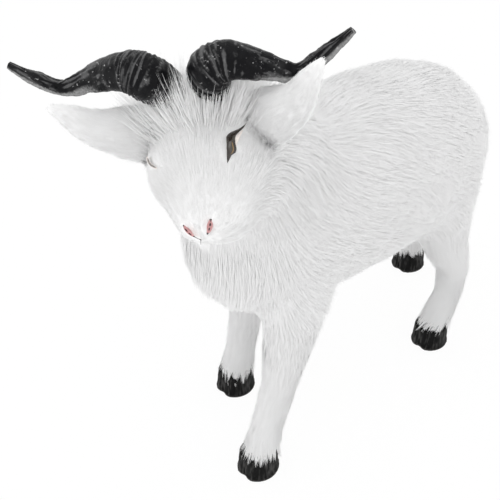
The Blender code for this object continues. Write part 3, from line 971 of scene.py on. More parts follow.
@dataclass
class Body:
    """The hide: the body's shape, drawn in by the fur's thickness, and the fur that grows on it.

    A pair of numbers is the two edges of a band in millimetres: nothing at the first, all at the second.
    On the head it is measured from the head's middle to the left, down the face or out of the forehead.
    """

    layout: Layout
    finishes: Finishes
    face: "Face"
    voxel: float = 1.7 * MM
    trunk: Bone = field(default_factory=lambda: Bone(((0, -40, 122), (0, 30, 126), (0, 122, 117)), 46 * MM))
    neck: Bone = field(default_factory=lambda: Bone(((3, -36, 176), (0, 8, 116)), 34 * MM))
    front_left: Bone = field(default_factory=lambda: Bone(
        ((22, -15, 92), (24, -21, 70), (24.5, -26, 50), (24.5, -32, 32), (24.5, -40, 8)), 15 * MM))
    front_right: Bone = field(default_factory=lambda: Bone(
        ((-22, 1, 92), (-24, 0, 70), (-25, -1, 50), (-25, -4, 32), (-25, -9, 8)), 15 * MM))
    hind_left: Bone = field(default_factory=lambda: Bone(
        ((25, 94, 98), (26, 100, 70), (27, 110, 50), (27, 111, 32), (27, 98, 8)), 15 * MM))
    hind_right: Bone = field(default_factory=lambda: Bone(
        ((-25, 107, 98), (-26, 122, 70), (-27, 139, 50), (-27, 145, 32), (-27, 147, 8)), 15 * MM))
    styles: tuple = (Style(8.5, 4.6, 2.6, 0.03, 0.38), Style(10.5, 5.5, 3.0, 0.04, 0.34),
                     Style(7.5, 8.0, 5.6, 0.16, 0.17)) + (Style(7.0, 6.0, 2.8, 0.06, 0.30),) * 4
    crown_locks: Style = Style(18.5, 46.0, 3.6, 0.22, 0.17)
    hoof_locks: Style = Style(6.2, 7.0, 3.0, 0.85, 0.22)
    lock_sizes: tuple = (1.3, 1.9)
    head_line: tuple = (-16, 4, 26)
    head_radius: float = 22 * MM
    leg_top: tuple = (104, 74)
    face_out: tuple = (-8, 2)
    face_reach: tuple = (44, 36)
    thickness: tuple = (2.3, 0.7, 0.9)
    thin_head: tuple = (40, 26)
    thin_face: tuple = (-12, 6)
    thin_low: tuple = (30, 16)
    thin_by_ear: tuple = (0.5, 6)
    near_thickness: float = 8
    near_ear: float = 14
    beside_ear: tuple = (7, 1.0)
    ear_rise: float = 32.0
    near_socket: float = 12
    ear_edge: float = -0.6
    socket_edge: float = 0.4
    edge_width: float = 0.6
    muzzle_down: tuple = (2, 22)
    crown_down: tuple = (-2, -12)
    crown_out: tuple = (2, 9)
    crown_top: tuple = (-27, -20)
    locks_down: tuple = (-5, -11)
    locks_out: tuple = (2, 8)
    locks_top: tuple = (-21, -17)
    locks_spread: float = 24
    cheek_front: tuple = (4, -3)
    cheek_back: tuple = (-14, -9)
    cheek_left: tuple = (9, 15)
    cheek_top: tuple = (-12, -4)
    cheek_chin: tuple = (26, 18)
    rump: tuple = (105, 140)
    chest: tuple = (-10, -45)
    fringe: tuple = (26, 17)
    fringe_end: float = 15.5
    hoof_roots: tuple = (16.0, 17.0)
    hoof_root_end: tuple = (23, 19)
    sock: tuple = (20.0, 18.0)
    sole_height: float = 17
    coat_end: tuple = (16.5, 18.5)
    bare_edge: tuple = (0.35, 0.9)
    bare_hair: float = 0.8
    bare_reach: float = 46
    bare_rim: tuple = (2.2, 1.2)

    def build(self) -> None:
        """Make the hide and all its fur."""
        self.ears = {side: solid_tree(side.word + "_ear") for side in Side}
        hide = self._hide()
        surface = Surface.of(hide)
        self.shift = np.array(self.layout.shift())
        self.local = self.layout.to_head(surface.points)
        parts = self._parts(surface)
        growth = self._growth(surface, parts)
        self._mark_bare(hide, surface)
        add_piece(hide, Slot.FUR, self.finishes.hide, "body")
        self._crown_locks(surface, growth, parts)
        self._hoof_locks(surface, growth)
        maker = HairMaker()
        for coat, chosen in self._coats(surface, parts).items():
            lock_size = self.lock_sizes[0 if coat is Coat.HEAD else 1] * MM
            data = maker.make(coat.value + "_fur", surface, growth, np.nonzero(chosen)[0], lock_size)
            add_piece(data, Slot.FUR, self.finishes.fur)

    def _coats(self, surface: Surface, parts: np.ndarray) -> dict[Coat, np.ndarray]:
        """Which triangles each stretch of fur grows on."""
        owners = parts[surface.triangles].sum(axis=1).argmax(axis=1)
        left = surface.points[surface.triangles].mean(axis=1)[:, 0] > self.shift[0]
        return {
            Coat.HEAD: owners == Part.HEAD,
            Coat.NECK: owners == Part.NECK,
            Coat.TRUNK_LEFT: (owners == Part.TRUNK) & left,
            Coat.TRUNK_RIGHT: (owners == Part.TRUNK) & ~left,
            Coat.FRONT_LEGS: (owners == Part.FRONT_LEFT) | (owners == Part.FRONT_RIGHT),
            Coat.HIND_LEGS: (owners == Part.HIND_LEFT) | (owners == Part.HIND_RIGHT),
        }

    def _hide(self) -> bpy.types.Mesh:
        """Remesh the CAD body evenly and draw it in along its normals."""
        data = fine_copy(self.voxel, 4, "body", "left_eye", "right_eye")
        data.name = "hide"
        surface = Surface.of(data)
        local = self.layout.to_head(surface.points)
        draw_in = self._thickness(surface.points, local)
        points = surface.points - surface.normals * surface.smooth(draw_in, 3)[:, None]
        data.vertices.foreach_set("co", points.ravel().astype(np.float32))
        data.update()
        data.shade_smooth()
        return data

    def _thickness(self, points: np.ndarray, local: np.ndarray) -> np.ndarray:
        """The fur's thickness over the hide: thin on the face, thick on the body."""
        on_head = band(np.linalg.norm(local, axis=1), self.thin_head)
        face = band(local[:, 1], self.thin_face) * on_head
        body, less_head, less_face = self.thickness
        thick = body * MM - less_head * MM * on_head - less_face * MM * face
        thick = thick * (1.0 - 0.45 * band(points[:, 2], self.thin_low))
        for tree in self.ears.values():
            gaps = np.abs(gaps_from(tree, points, self.near_thickness * MM))
            thick = thick * (0.1 + 0.9 * band(gaps, self.thin_by_ear))
        return thick

    def _parts(self, surface: Surface) -> np.ndarray:
        """Weights of trunk, neck, head and four legs at each point."""
        legs = (self.front_left, self.front_right, self.hind_left, self.hind_right)
        head = Bone(tuple(tuple((self.layout.head_middle + self.layout.head_vector(Vector((0, down, -3)) * MM)) / MM)
                          for down in self.head_line), self.head_radius)
        weights = [bone.reach(surface.points, self.shift)[0] for bone in (self.trunk, self.neck, head)]
        on_face = band(self.local[:, 2], self.face_out) * band(np.linalg.norm(self.local, axis=1), self.face_reach)
        for part in (Part.TRUNK, Part.NECK):
            weights[part] = weights[part] * (1.0 - on_face)
        below = band(surface.points[:, 2], self.leg_top)
        weights.extend(leg.reach(surface.points, self.shift)[0] * below for leg in legs)
        stacked = np.stack(weights, axis=1)
        return stacked / stacked.sum(axis=1, keepdims=True)

    def _growth(self, surface: Surface, parts: np.ndarray) -> Growth:
        """Work out how the fur grows at every point of the hide."""
        points, normals = surface.points, surface.normals
        flows = self._flows(points, normals)
        flow = sum(parts[:, part:part + 1] * flows[part] for part in Part)
        flow = flow - normals * (flow * normals).sum(axis=1, keepdims=True)
        flow = unit(surface.smooth(unit(flow), 6))
        flow, beside_ear, ear_rise = self._ear_roots(points, normals, flow)
        flow = self.swirl(points, normals, flow)
        length = parts @ (np.array([style.length for style in self.styles]) * MM)
        lift = parts @ np.array([style.lift for style in self.styles])
        dense = parts @ (np.array([style.density for style in self.styles]) / MM ** 2)
        clump = parts @ np.array([style.clump for style in self.styles])
        width = parts @ (np.array([style.width for style in self.styles]) * MM)
        muzzle = band(self.local[:, 1], self.muzzle_down) * parts[:, Part.HEAD]
        length = length * (1.0 - 0.66 * muzzle)
        length, lift, clump = self._crown(length, lift, clump, parts)
        length, lift = length + beside_ear * 2.0 * MM, lift * (1.0 - beside_ear) + ear_rise
        rim = self._cheek_rim()
        length, lift = length + rim * 2.5 * MM, lift + rim * 16.0
        length, clump = self._hoof_fringe(points[:, 2], length, clump)
        length, dense = self._openings(surface, length, dense)
        return Growth(flow, length, lift, dense, clump, width)

    def _cheek_rim(self) -> np.ndarray:
        """Where the left cheek's fur stands proud of the neck."""
        left, down, out = self.local.T
        rim = band(out, self.cheek_front) * band(out, self.cheek_back) * band(left, self.cheek_left)
        return rim * band(down, self.cheek_top) * band(down, self.cheek_chin)

    def _flows(self, points: np.ndarray, normals: np.ndarray) -> list[np.ndarray]:
        """The way that hair runs on trunk, neck, head and legs."""
        along = np.array([0.0, 1.0, 0.0])
        down = np.array([0.0, 0.0, -1.0])
        flank = np.abs(normals[:, 0:1])
        rump = band(points[:, 1] - self.shift[1], self.rump)[:, None]
        chest = band(points[:, 1] - self.shift[1], self.chest)[:, None]
        trunk = along * (1.0 - rump) * (1.0 - chest) + down * (0.08 + 0.62 * flank + rump * 1.6 + chest * 1.6)
        neck_way = np.array(self.neck.points[1]) - np.array(self.neck.points[0])
        neck = unit(neck_way[None, :].astype(float)) + down * 0.35 + along * 0.25 + 0.0 * points
        nose = np.array(self.layout.head_point(Vector((0, 34, 3)) * MM))
        head = unit(points - nose)
        flows = [trunk, neck, head]
        for leg in (self.front_left, self.front_right, self.hind_left, self.hind_right):
            _, ways = leg.reach(points, self.shift)
            flows.append(ways + 0.12 * normals)
        return flows

    @staticmethod
    def swirl(points: np.ndarray, normals: np.ndarray, flow: np.ndarray) -> np.ndarray:
        """Turn the flow a little this way and that, as brushed fur lies."""
        turns = np.array([noise.noise(Vector(point) * 34.0) * 0.45 + noise.noise(Vector(point) * 110.0) * 0.16
                          for point in points])[:, None]
        return unit(flow * np.cos(turns) + np.cross(normals, flow) * np.sin(turns))

    def _ear_roots(self, points: np.ndarray, normals: np.ndarray,
                   flow: np.ndarray) -> tuple[np.ndarray, np.ndarray, np.ndarray]:
        """Turn the fur beside an ear's root along the ear, and say how near it is and how steeply it rises."""
        near = np.zeros(len(points))
        rise = np.zeros(len(points))
        for side, tree in self.ears.items():
            gaps = np.abs(gaps_from(tree, points, self.near_ear * MM))
            share = band(gaps, self.beside_ear)
            way = np.array(self.layout.head_vector(FurredPart.ear_ways[side], side, EAR_SKEW).normalized())
            flow = flow * (1.0 - share[:, None]) + way * share[:, None]
            near = np.maximum(near, share)
            steep = np.degrees(np.arcsin(np.clip(normals @ way, 0.0, 1.0)))
            rise = np.maximum(rise, share * np.minimum(steep, self.ear_rise))
        return unit(flow), near, rise

    def _crown(self, length: np.ndarray, lift: np.ndarray, clump: np.ndarray,
               parts: np.ndarray) -> tuple[np.ndarray, np.ndarray, np.ndarray]:
        """Longer, rising, spiky hair between and before the horns."""
        _, down, out = self.local.T
        crown = band(down, self.crown_down) * band(out, self.crown_out) * parts[:, Part.HEAD]
        crown = crown * band(down, self.crown_top)
        return length + crown * 5.0 * MM, lift + crown * 10.0, clump + crown * 0.12

    def _crown_locks(self, surface: Surface, growth: Growth, parts: np.ndarray) -> None:
        """Long pointed locks that rise from the forehead over the feet of the horns."""
        left, down, out = self.local.T
        place = band(down, self.locks_down) * band(out, self.locks_out) * parts[:, Part.HEAD]
        place = place * band(down, self.locks_top)
        open_hide = growth.density > 0.5 * growth.density.max()
        to_left, to_chin, _ = (np.array(axis) for axis in self.layout.head_axes())
        spread = (left / (self.locks_spread * MM))[:, None]
        flow = -to_chin[None, :] + to_left[None, :] * spread * 0.7
        flow = flow - surface.normals * (flow * surface.normals).sum(axis=1, keepdims=True)
        locks = Growth.even(self.crown_locks, unit(flow), place * open_hide)
        maker = HairMaker(seed=23, sway=0.18, droop=0.35)
        data = maker.make("crown_locks", surface, locks, np.arange(len(surface.triangles)), 1.8 * MM, 5)
        add_piece(data, Slot.FUR, self.finishes.fur)

    def _hoof_locks(self, surface: Surface, growth: Growth) -> None:
        """Pointed locks that hang over the hooves."""
        height = surface.points[:, 2]
        place = band(height, self.hoof_roots) * band(height, self.hoof_root_end) * (growth.density > 0)
        locks = Growth.even(self.hoof_locks, growth.flow, place)
        locks.length += 0.7 * np.maximum(height - self.hoof_roots[0] * MM, 0.0)
        maker = HairMaker(seed=31, sway=0.12, droop=0.2)
        data = maker.make("hoof_locks", surface, locks, np.arange(len(surface.triangles)), 2.6 * MM, 4)
        add_piece(data, Slot.FUR, self.finishes.fur)

    def _hoof_fringe(self, height: np.ndarray, length: np.ndarray,
                     clump: np.ndarray) -> tuple[np.ndarray, np.ndarray]:
        """Shorter hair, more drawn together, down to the hooves."""
        most = np.maximum(height - self.fringe_end * MM, 1.0 * MM)
        return np.minimum(length, most), clump + band(height, self.fringe) * 0.2

    def _openings(self, surface: Surface, length: np.ndarray, dense: np.ndarray) -> tuple[np.ndarray, np.ndarray]:
        """Keep fur out of the sockets, off the leg ends and short about the eyes and nostrils."""
        for name in ("left_horn", "right_horn", "left_ear", "right_ear", "tail"):
            tree = solid_tree(name)
            gaps = gaps_from(tree, surface.points, self.near_socket * MM)
            edge = self.ear_edge * MM if name.endswith("ear") else self.socket_edge * MM
            dense = dense * ease(gaps, edge, edge + self.edge_width * MM)
        height = surface.points[:, 2]
        sole = (surface.normals[:, 2] < -0.75) & (height < self.sole_height * MM)
        dense = np.where(sole, 0.0, dense) * band(height, self.coat_end)
        gaps = self._bare_gaps(surface)
        dense = dense * band(gaps, self.bare_edge)
        length = np.minimum(length, self.bare_hair * MM + 0.70 * gaps)
        return length, dense

    def _bare_gaps(self, surface: Surface) -> np.ndarray:
        """How far each point of the hide appears from the nearest eye or nostril."""
        view = self.face.view
        facing = ((np.array(view.viewer) - surface.points) * surface.normals).sum(axis=1) > 0
        near = np.linalg.norm(self.local, axis=1) < self.bare_reach * MM
        gaps = np.full(len(surface.points), 1.0)
        chosen = np.nonzero(facing & near)[0]
        shown = view.seen(surface.points[chosen])
        spots = view.seen(np.array([list(spot) for spot in self.face.spots]))
        offsets = shown[:, None, :] - spots[None, :, :]
        gaps[chosen] = np.sqrt((offsets ** 2).sum(axis=2).min(axis=1))
        return gaps

    def _mark_bare(self, hide: bpy.types.Mesh, surface: Surface) -> None:
        """Mark the bare skin about the nostrils and the black skin over the hooves."""
        bare = np.zeros(len(surface.points))
        for spot in self.face.nostril_spots:
            gaps = np.linalg.norm(surface.points - np.array(spot), axis=1)
            bare = np.maximum(bare, band(gaps, self.bare_rim) * 0.5)
        set_marks(hide, {"bare": bare, "sock": band(surface.points[:, 2], self.sock)})


@dataclass
class Horn:
    """A horn that arches out sideways, ringed with ridges at first, then a flat and twisted blade."""

    layout: Layout
    finishes: Finishes
    side: Side
    root: Vector = Vector((7.42, -24.5, 3.69)) * MM
    slide: float = -2.6 * MM
    skew: float = 4.0
    line: tuple = ((0, 0, 0), (0.8, -0.5, 8.3), (2.2, -0.7, 16.8), (5.3, -0.7, 26.2), (12.5, -3, 27.7),
                   (24, -1.9, 23.2), (35.5, -0.1, 18.7), (46.5, -3.3, 23.2), (58, -8.9, 28.7))
    right_moves: tuple = ((0, 0, 0), (0, 0, 0), (0, 0, 0), (0, 0, 0), (0, 0, 0), (2.5, -2.5, 0), (5.6, -3, 0),
                          (4.5, -2.2, 0), (3.2, -1.6, 0))
    half_widths: tuple = (6.6, 7.2, 7.9, 8.2, 7.8, 6.6, 3.4, 3.1, 1.5)
    half_depths: tuple = (6.0, 6.6, 7.2, 7.3, 6.6, 4.8, 5.0, 4.6, 2.1)
    wide_way: Vector = Vector((0.55, 1, 0))
    # the horn's lower side, painted paler as partly scuffing and partly painted highlight
    low_way: Vector = Vector((0.43, -0.42, -0.80))
    ridges: tuple = (0.21, 0.235, 0.262, 0.285, 0.312, 0.335, 0.36, 0.382, 0.405, 0.43, 0.455, 0.485)
    ridge_heights: tuple = (0.5, 0.8, 0.6, 0.9, 0.7, 0.9, 0.7, 0.9, 0.7, 0.8, 0.6, 0.5)
    ridge_slopes: tuple = (0.014, 0.006)
    blade_from: float = 0.52
    blade_over: float = 0.16
    # where the painted highlight lines turn from running round the horn to running along it
    highlight_blade_from: float = 0.48
    highlight_blade_over: float = 0.14
    dent_scales: tuple = ((170.0, 0.42), (420.0, 0.28), (950.0, 0.12))
    tip_share: float = 0.06
    under_from: float = 0.40
    rings: int = 170
    around: int = 56

    def build(self) -> None:
        """Make the horn in place of its CAD node."""
        places = [Vector(place) * MM for place in self.line]
        if self.side is Side.RIGHT:
            places = [place + Vector(move) * MM for place, move in zip(places, self.right_moves)]
        sideways = self.layout.head_vector(self.wide_way, self.side)
        centres = [self._point(smooth_value(places, ring / self.rings)) for ring in range(self.rings + 1)]
        rings, wear, streak = [], [], []
        for index, centre in enumerate(centres):
            share = index / self.rings
            ahead = (centres[min(index + 3, self.rings)] - centres[max(index - 3, 0)]).normalized()
            across = (sideways - ahead * sideways.dot(ahead)).normalized()
            outward = ahead.cross(across)
            width = smooth_value(self.half_widths, share) * MM
            depth = smooth_value(self.half_depths, share) * MM
            ring = []
            for step in range(self.around):
                angle = 2 * math.pi * step / self.around
                place, worn_and_highlit = self._skin(centre, across, outward, width, depth, share, angle)
                ring.append(place)
                wear.append(worn_and_highlit)
                streak.append(self._highlight_streak(share, angle))
            rings.append(ring)
        name = self.side.word + "_horn"
        # marks: painted highlight lines, and pale grey that is partly scuffing and partly painted highlight
        data = ring_mesh(name + "_shell", rings, {"wear": wear, "streak": streak})
        add_piece(data, Slot.HORN, self.finishes.horn, name)

    def _point(self, local: Vector) -> Vector:
        """A point of the horn's middle line."""
        return self.layout.head_point(self.root + local, self.side, self.skew, self.slide)

    def _highlight_streak(self, share: float, angle: float) -> float:
        """Paler lines of painted highlight, round the horn on its arch and along it on its blade."""
        turn = Vector((math.cos(angle), math.sin(angle), 0.0))
        offset = Vector((0.0, 0.0, 5.0 * self.side.value))
        ringed = noise.noise(Vector((turn.x * 0.9, turn.y * 0.9, share * 110.0)) + offset)
        lengthwise = noise.noise(Vector((turn.x * 3.5, turn.y * 3.5, share * 14.0)) + offset)
        blade = min(max((share - self.highlight_blade_from) / self.highlight_blade_over, 0.0), 1.0)
        return 0.5 + ringed * (1.0 - blade) + lengthwise * blade

    def _skin(self, centre: Vector, across: Vector, outward: Vector, width: float, depth: float, share: float,
              angle: float) -> tuple[Vector, float]:
        """A point of the horn's skin, and how much pale grey it takes there, partly scuffing and partly painted
        highlight.
        """
        blade = min(max((share - self.blade_from) / self.blade_over, 0.0), 1.0)
        twist = 0.5 * blade * math.sin((share - self.blade_from) * 7.0) * self.side.value
        power = 1.0 - 0.30 * blade
        turn = angle + twist
        cos, sin = math.cos(turn), math.sin(turn)
        flat_cos = math.copysign(abs(cos) ** (1 / power), cos)
        flat_sin = math.copysign(abs(sin) ** (1 / power), sin)
        wobble = noise.noise(centre * 120.0) * 0.02 + 0.012 * math.sin(angle * 2 + 1.0)
        ridge, crest = 0.0, 0.0
        for at, height in zip(self.ridges, self.ridge_heights):
            gap = share + wobble - at
            slope = self.ridge_slopes[0 if gap < 0 else 1]
            shape = math.exp(-(gap / slope) ** 2)
            ridge += height * shape
            crest = max(crest, shape)
        spot = centre + across * flat_cos * width + outward * flat_sin * depth
        dent = sum(noise.noise(spot * scale) * height for scale, height in self.dent_scales)
        groove = math.cos(angle * 5 + noise.noise(centre * 60.0) * 3.0) * 0.22 * blade
        fade = min(1.0, (1.0 - share) / self.tip_share)
        grow = (ridge * 0.95 + dent * (0.8 + 0.5 * blade) + groove) * fade * MM
        way = (across * flat_cos * width + outward * flat_sin * depth).normalized()
        # pale grey on the ridge crests, the blade's edges and its lower side: partly scuffing, partly painted
        # highlight
        edge = max(0.0, abs(sin) - 0.90) * 10.0 * blade
        under = min(1.0, max(0.0, way.dot(self.low_way) - self.under_from) * 2.2) * blade
        patchy = min(1.0, abs(noise.noise(spot * 110.0)) * 3.0)
        worn_and_highlit = min(1.0, 0.60 * crest * patchy + 0.35 * edge + 1.1 * under)
        return spot + way * grow, worn_and_highlit


@dataclass
class Hoof:
    """A black hoof of upright strands, cleft at the toe."""

    finishes: Finishes
    node: str
    voxel: float = 0.62 * MM
    groove: float = 0.42 * MM
    rim_height: float = 1.3 * MM

    def build(self) -> None:
        """Make the hoof in place of its CAD node."""
        data = fine_copy(self.voxel, 2, self.node)
        data.name = self.node + "_shell"
        surface = Surface.of(data)
        middle = surface.points.mean(axis=0)
        strands = np.empty(len(surface.points))
        shifts = np.empty(len(surface.points))
        for number, point in enumerate(surface.points):
            turn = math.atan2(point[1] - middle[1], point[0] - middle[0])
            ring = Vector((math.cos(turn), math.sin(turn), point[2] * 9.0))
            strands[number] = noise.noise(ring * 9.0) * 0.6 + noise.noise(ring * 23.0) * 0.5
            shifts[number] = strands[number] + 0.5 * noise.noise(Vector(point) * 260.0)
        level = 1.0 - np.abs(surface.normals[:, 2])
        above = ease(surface.points[:, 2], 0.2 * MM, 1.6 * MM)
        points = surface.points + surface.normals * (shifts * level * above * self.groove)[:, None]
        data.vertices.foreach_set("co", points.ravel().astype(np.float32))
        data.update()
        rim = ease(surface.points[:, 2], self.rim_height * 1.5, self.rim_height * 0.4) * level
        set_marks(data, {"strand": strands + 0.5, "rim": rim})
        data.shade_smooth()
        add_piece(data, Slot.HOOF, self.finishes.hoof, self.node)


@dataclass
class FaceView:
    """The face as seen from the viewer's side: millimetres right and up of the head's middle."""

    layout: Layout
    viewer: Vector
    skins: list
    before: float = 50 * MM
    most_depth: float = 6 * MM

    def __post_init__(self) -> None:
        """Set up the view's directions."""
        self.middle = self.layout.head_middle + self.layout.shift()
        turn = (self.viewer - Studio.target - self.layout.shift()).to_track_quat("Z", "Y")
        self.right = turn @ Vector((1, 0, 0))
        self.up = turn @ Vector((0, 1, 0))

    def look(self, right: float, up: float) -> tuple[Vector, Vector]:
        """The point on the view's plane through the head's middle, and the way from the viewer to it."""
        spot = self.middle + (self.right * right + self.up * up) * MM
        return spot, (spot - self.viewer).normalized()

    def seen(self, points: np.ndarray) -> np.ndarray:
        """Where points appear, in metres right and up of the head's middle."""
        viewer, ahead = np.array(self.viewer), np.array(self.right.cross(self.up))
        middle = np.array(self.middle)
        rays = points - viewer
        reach = ((middle - viewer) @ ahead) / (rays @ ahead)
        spots = viewer + rays * reach[:, None] - middle
        return np.stack([spots @ np.array(self.right), spots @ np.array(self.up)], axis=1)

    def drape(self, rows: list[list[tuple]], rise: float, bulge: float, edges: bool) -> list[list[Vector]]:
        """Lay a grid of points on the face, evened to one smooth sheet.

        Args:
            rows: Rows of (right, up).
            rise: How far the sheet stands in front of the face.
            bulge: How far its middle stands out further.
            edges: Whether only its two long edges are read from the face.

        Returns:
            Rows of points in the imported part's frame.
        """
        terms, depths, looks = [], [], []
        origin = np.mean([spot for row in rows for spot in row], axis=0)
        for row in rows:
            for column, (right, up) in enumerate(row):
                spot, way = self.look(right, up)
                hits = [skin.ray_cast(spot - way * self.before, way) for skin in self.skins]
                found = [hit[3] for hit in hits if hit[0] is not None]
                across, along = right - origin[0], up - origin[1]
                term = (1.0, across, along, across * across, across * along, along * along)
                looks.append((spot, way, term))
                if found and (not edges or column in (0, len(row) - 1)):
                    terms.append(term)
                    depths.append(min(found))
        on_face = np.array(depths) < min(depths) + self.most_depth
        fit = np.linalg.lstsq(np.array(terms)[on_face], np.array(depths)[on_face], rcond=None)[0]
        sheet = []
        number = 0
        for row_number, row in enumerate(rows):
            line = []
            for column in range(len(row)):
                spot, way, term = looks[number]
                number += 1
                share = math.sin(math.pi * column / (len(row) - 1)) * math.sin(
                    math.pi * (0.1 + 0.8 * row_number / (len(rows) - 1)))
                reach = float(np.dot(fit, term)) - rise - bulge * share
                line.append(spot - way * self.before + way * reach)
            sheet.append(line)
        return sheet


def sheet_mesh(name: str, sheet: list[list[Vector]], marks: dict[str, list[float]]) -> bpy.types.Mesh:
    """Skin a grid of points as a smooth sheet.

    Args:
        name: The mesh's name.
        sheet: Rows of points.
        marks: Attributes by name, a number for each point, row after row.

    Returns:
        The mesh.
    """
    columns = len(sheet[0])
    points = [point for row in sheet for point in row]
    faces = [(row * columns + column, row * columns + column + 1, (row + 1) * columns + column + 1,
              (row + 1) * columns + column) for row in range(len(sheet) - 1) for column in range(columns - 1)]
    data = bpy.data.meshes.new(name)
    data.from_pydata(points, [], faces)
    data.update()
    set_marks(data, {mark: np.array(values) for mark, values in marks.items()})
    data.shade_smooth()
    return data


@dataclass(frozen=True)
class Strip:
    """A patch of the face between two edges, each a row of (right, up)."""

    left: tuple
    right: tuple
    rows: int = 40
    columns: int = 20

    def grid(self) -> list[list[tuple]]:
        """Rows of points across the strip, from its first end to its last."""
        lefts = [Vector(place) for place in self.left]
        rights = [Vector(place) for place in self.right]
        rows = []
        for row in range(self.rows + 1):
            share = row / self.rows
            start, end = smooth_value(lefts, share), smooth_value(rights, share)
            rows.append([tuple(start.lerp(end, column / self.columns)) for column in range(self.columns + 1)])
        return rows

    def shares(self) -> tuple[np.ndarray, np.ndarray]:
        """The share along and across of each point of the grid."""
        along, across = np.meshgrid(np.linspace(0, 1, self.rows + 1), np.linspace(0, 1, self.columns + 1),
                                    indexing="ij")
        return along.ravel(), across.ravel()

    @classmethod
    def line(cls, middle: tuple, widths: tuple, rows: int = 24, columns: int = 8) -> "Strip":
        """A strip along a middle line.

        Args:
            middle: The line's points.
            widths: Half widths along it.
            rows: Steps along.
            columns: Steps across.

        Returns:
            The strip.
        """
        lefts, rights = [], []
        last = len(middle) - 1
        for index, place in enumerate(middle):
            run = Vector(middle[min(index + 1, last)]) - Vector(middle[max(index - 1, 0)])
            across = Vector((-run.y, run.x)).normalized() * widths[index]
            lefts.append(tuple(Vector(place) - across))
            rights.append(tuple(Vector(place) + across))
        return cls(tuple(lefts), tuple(rights), rows, columns)


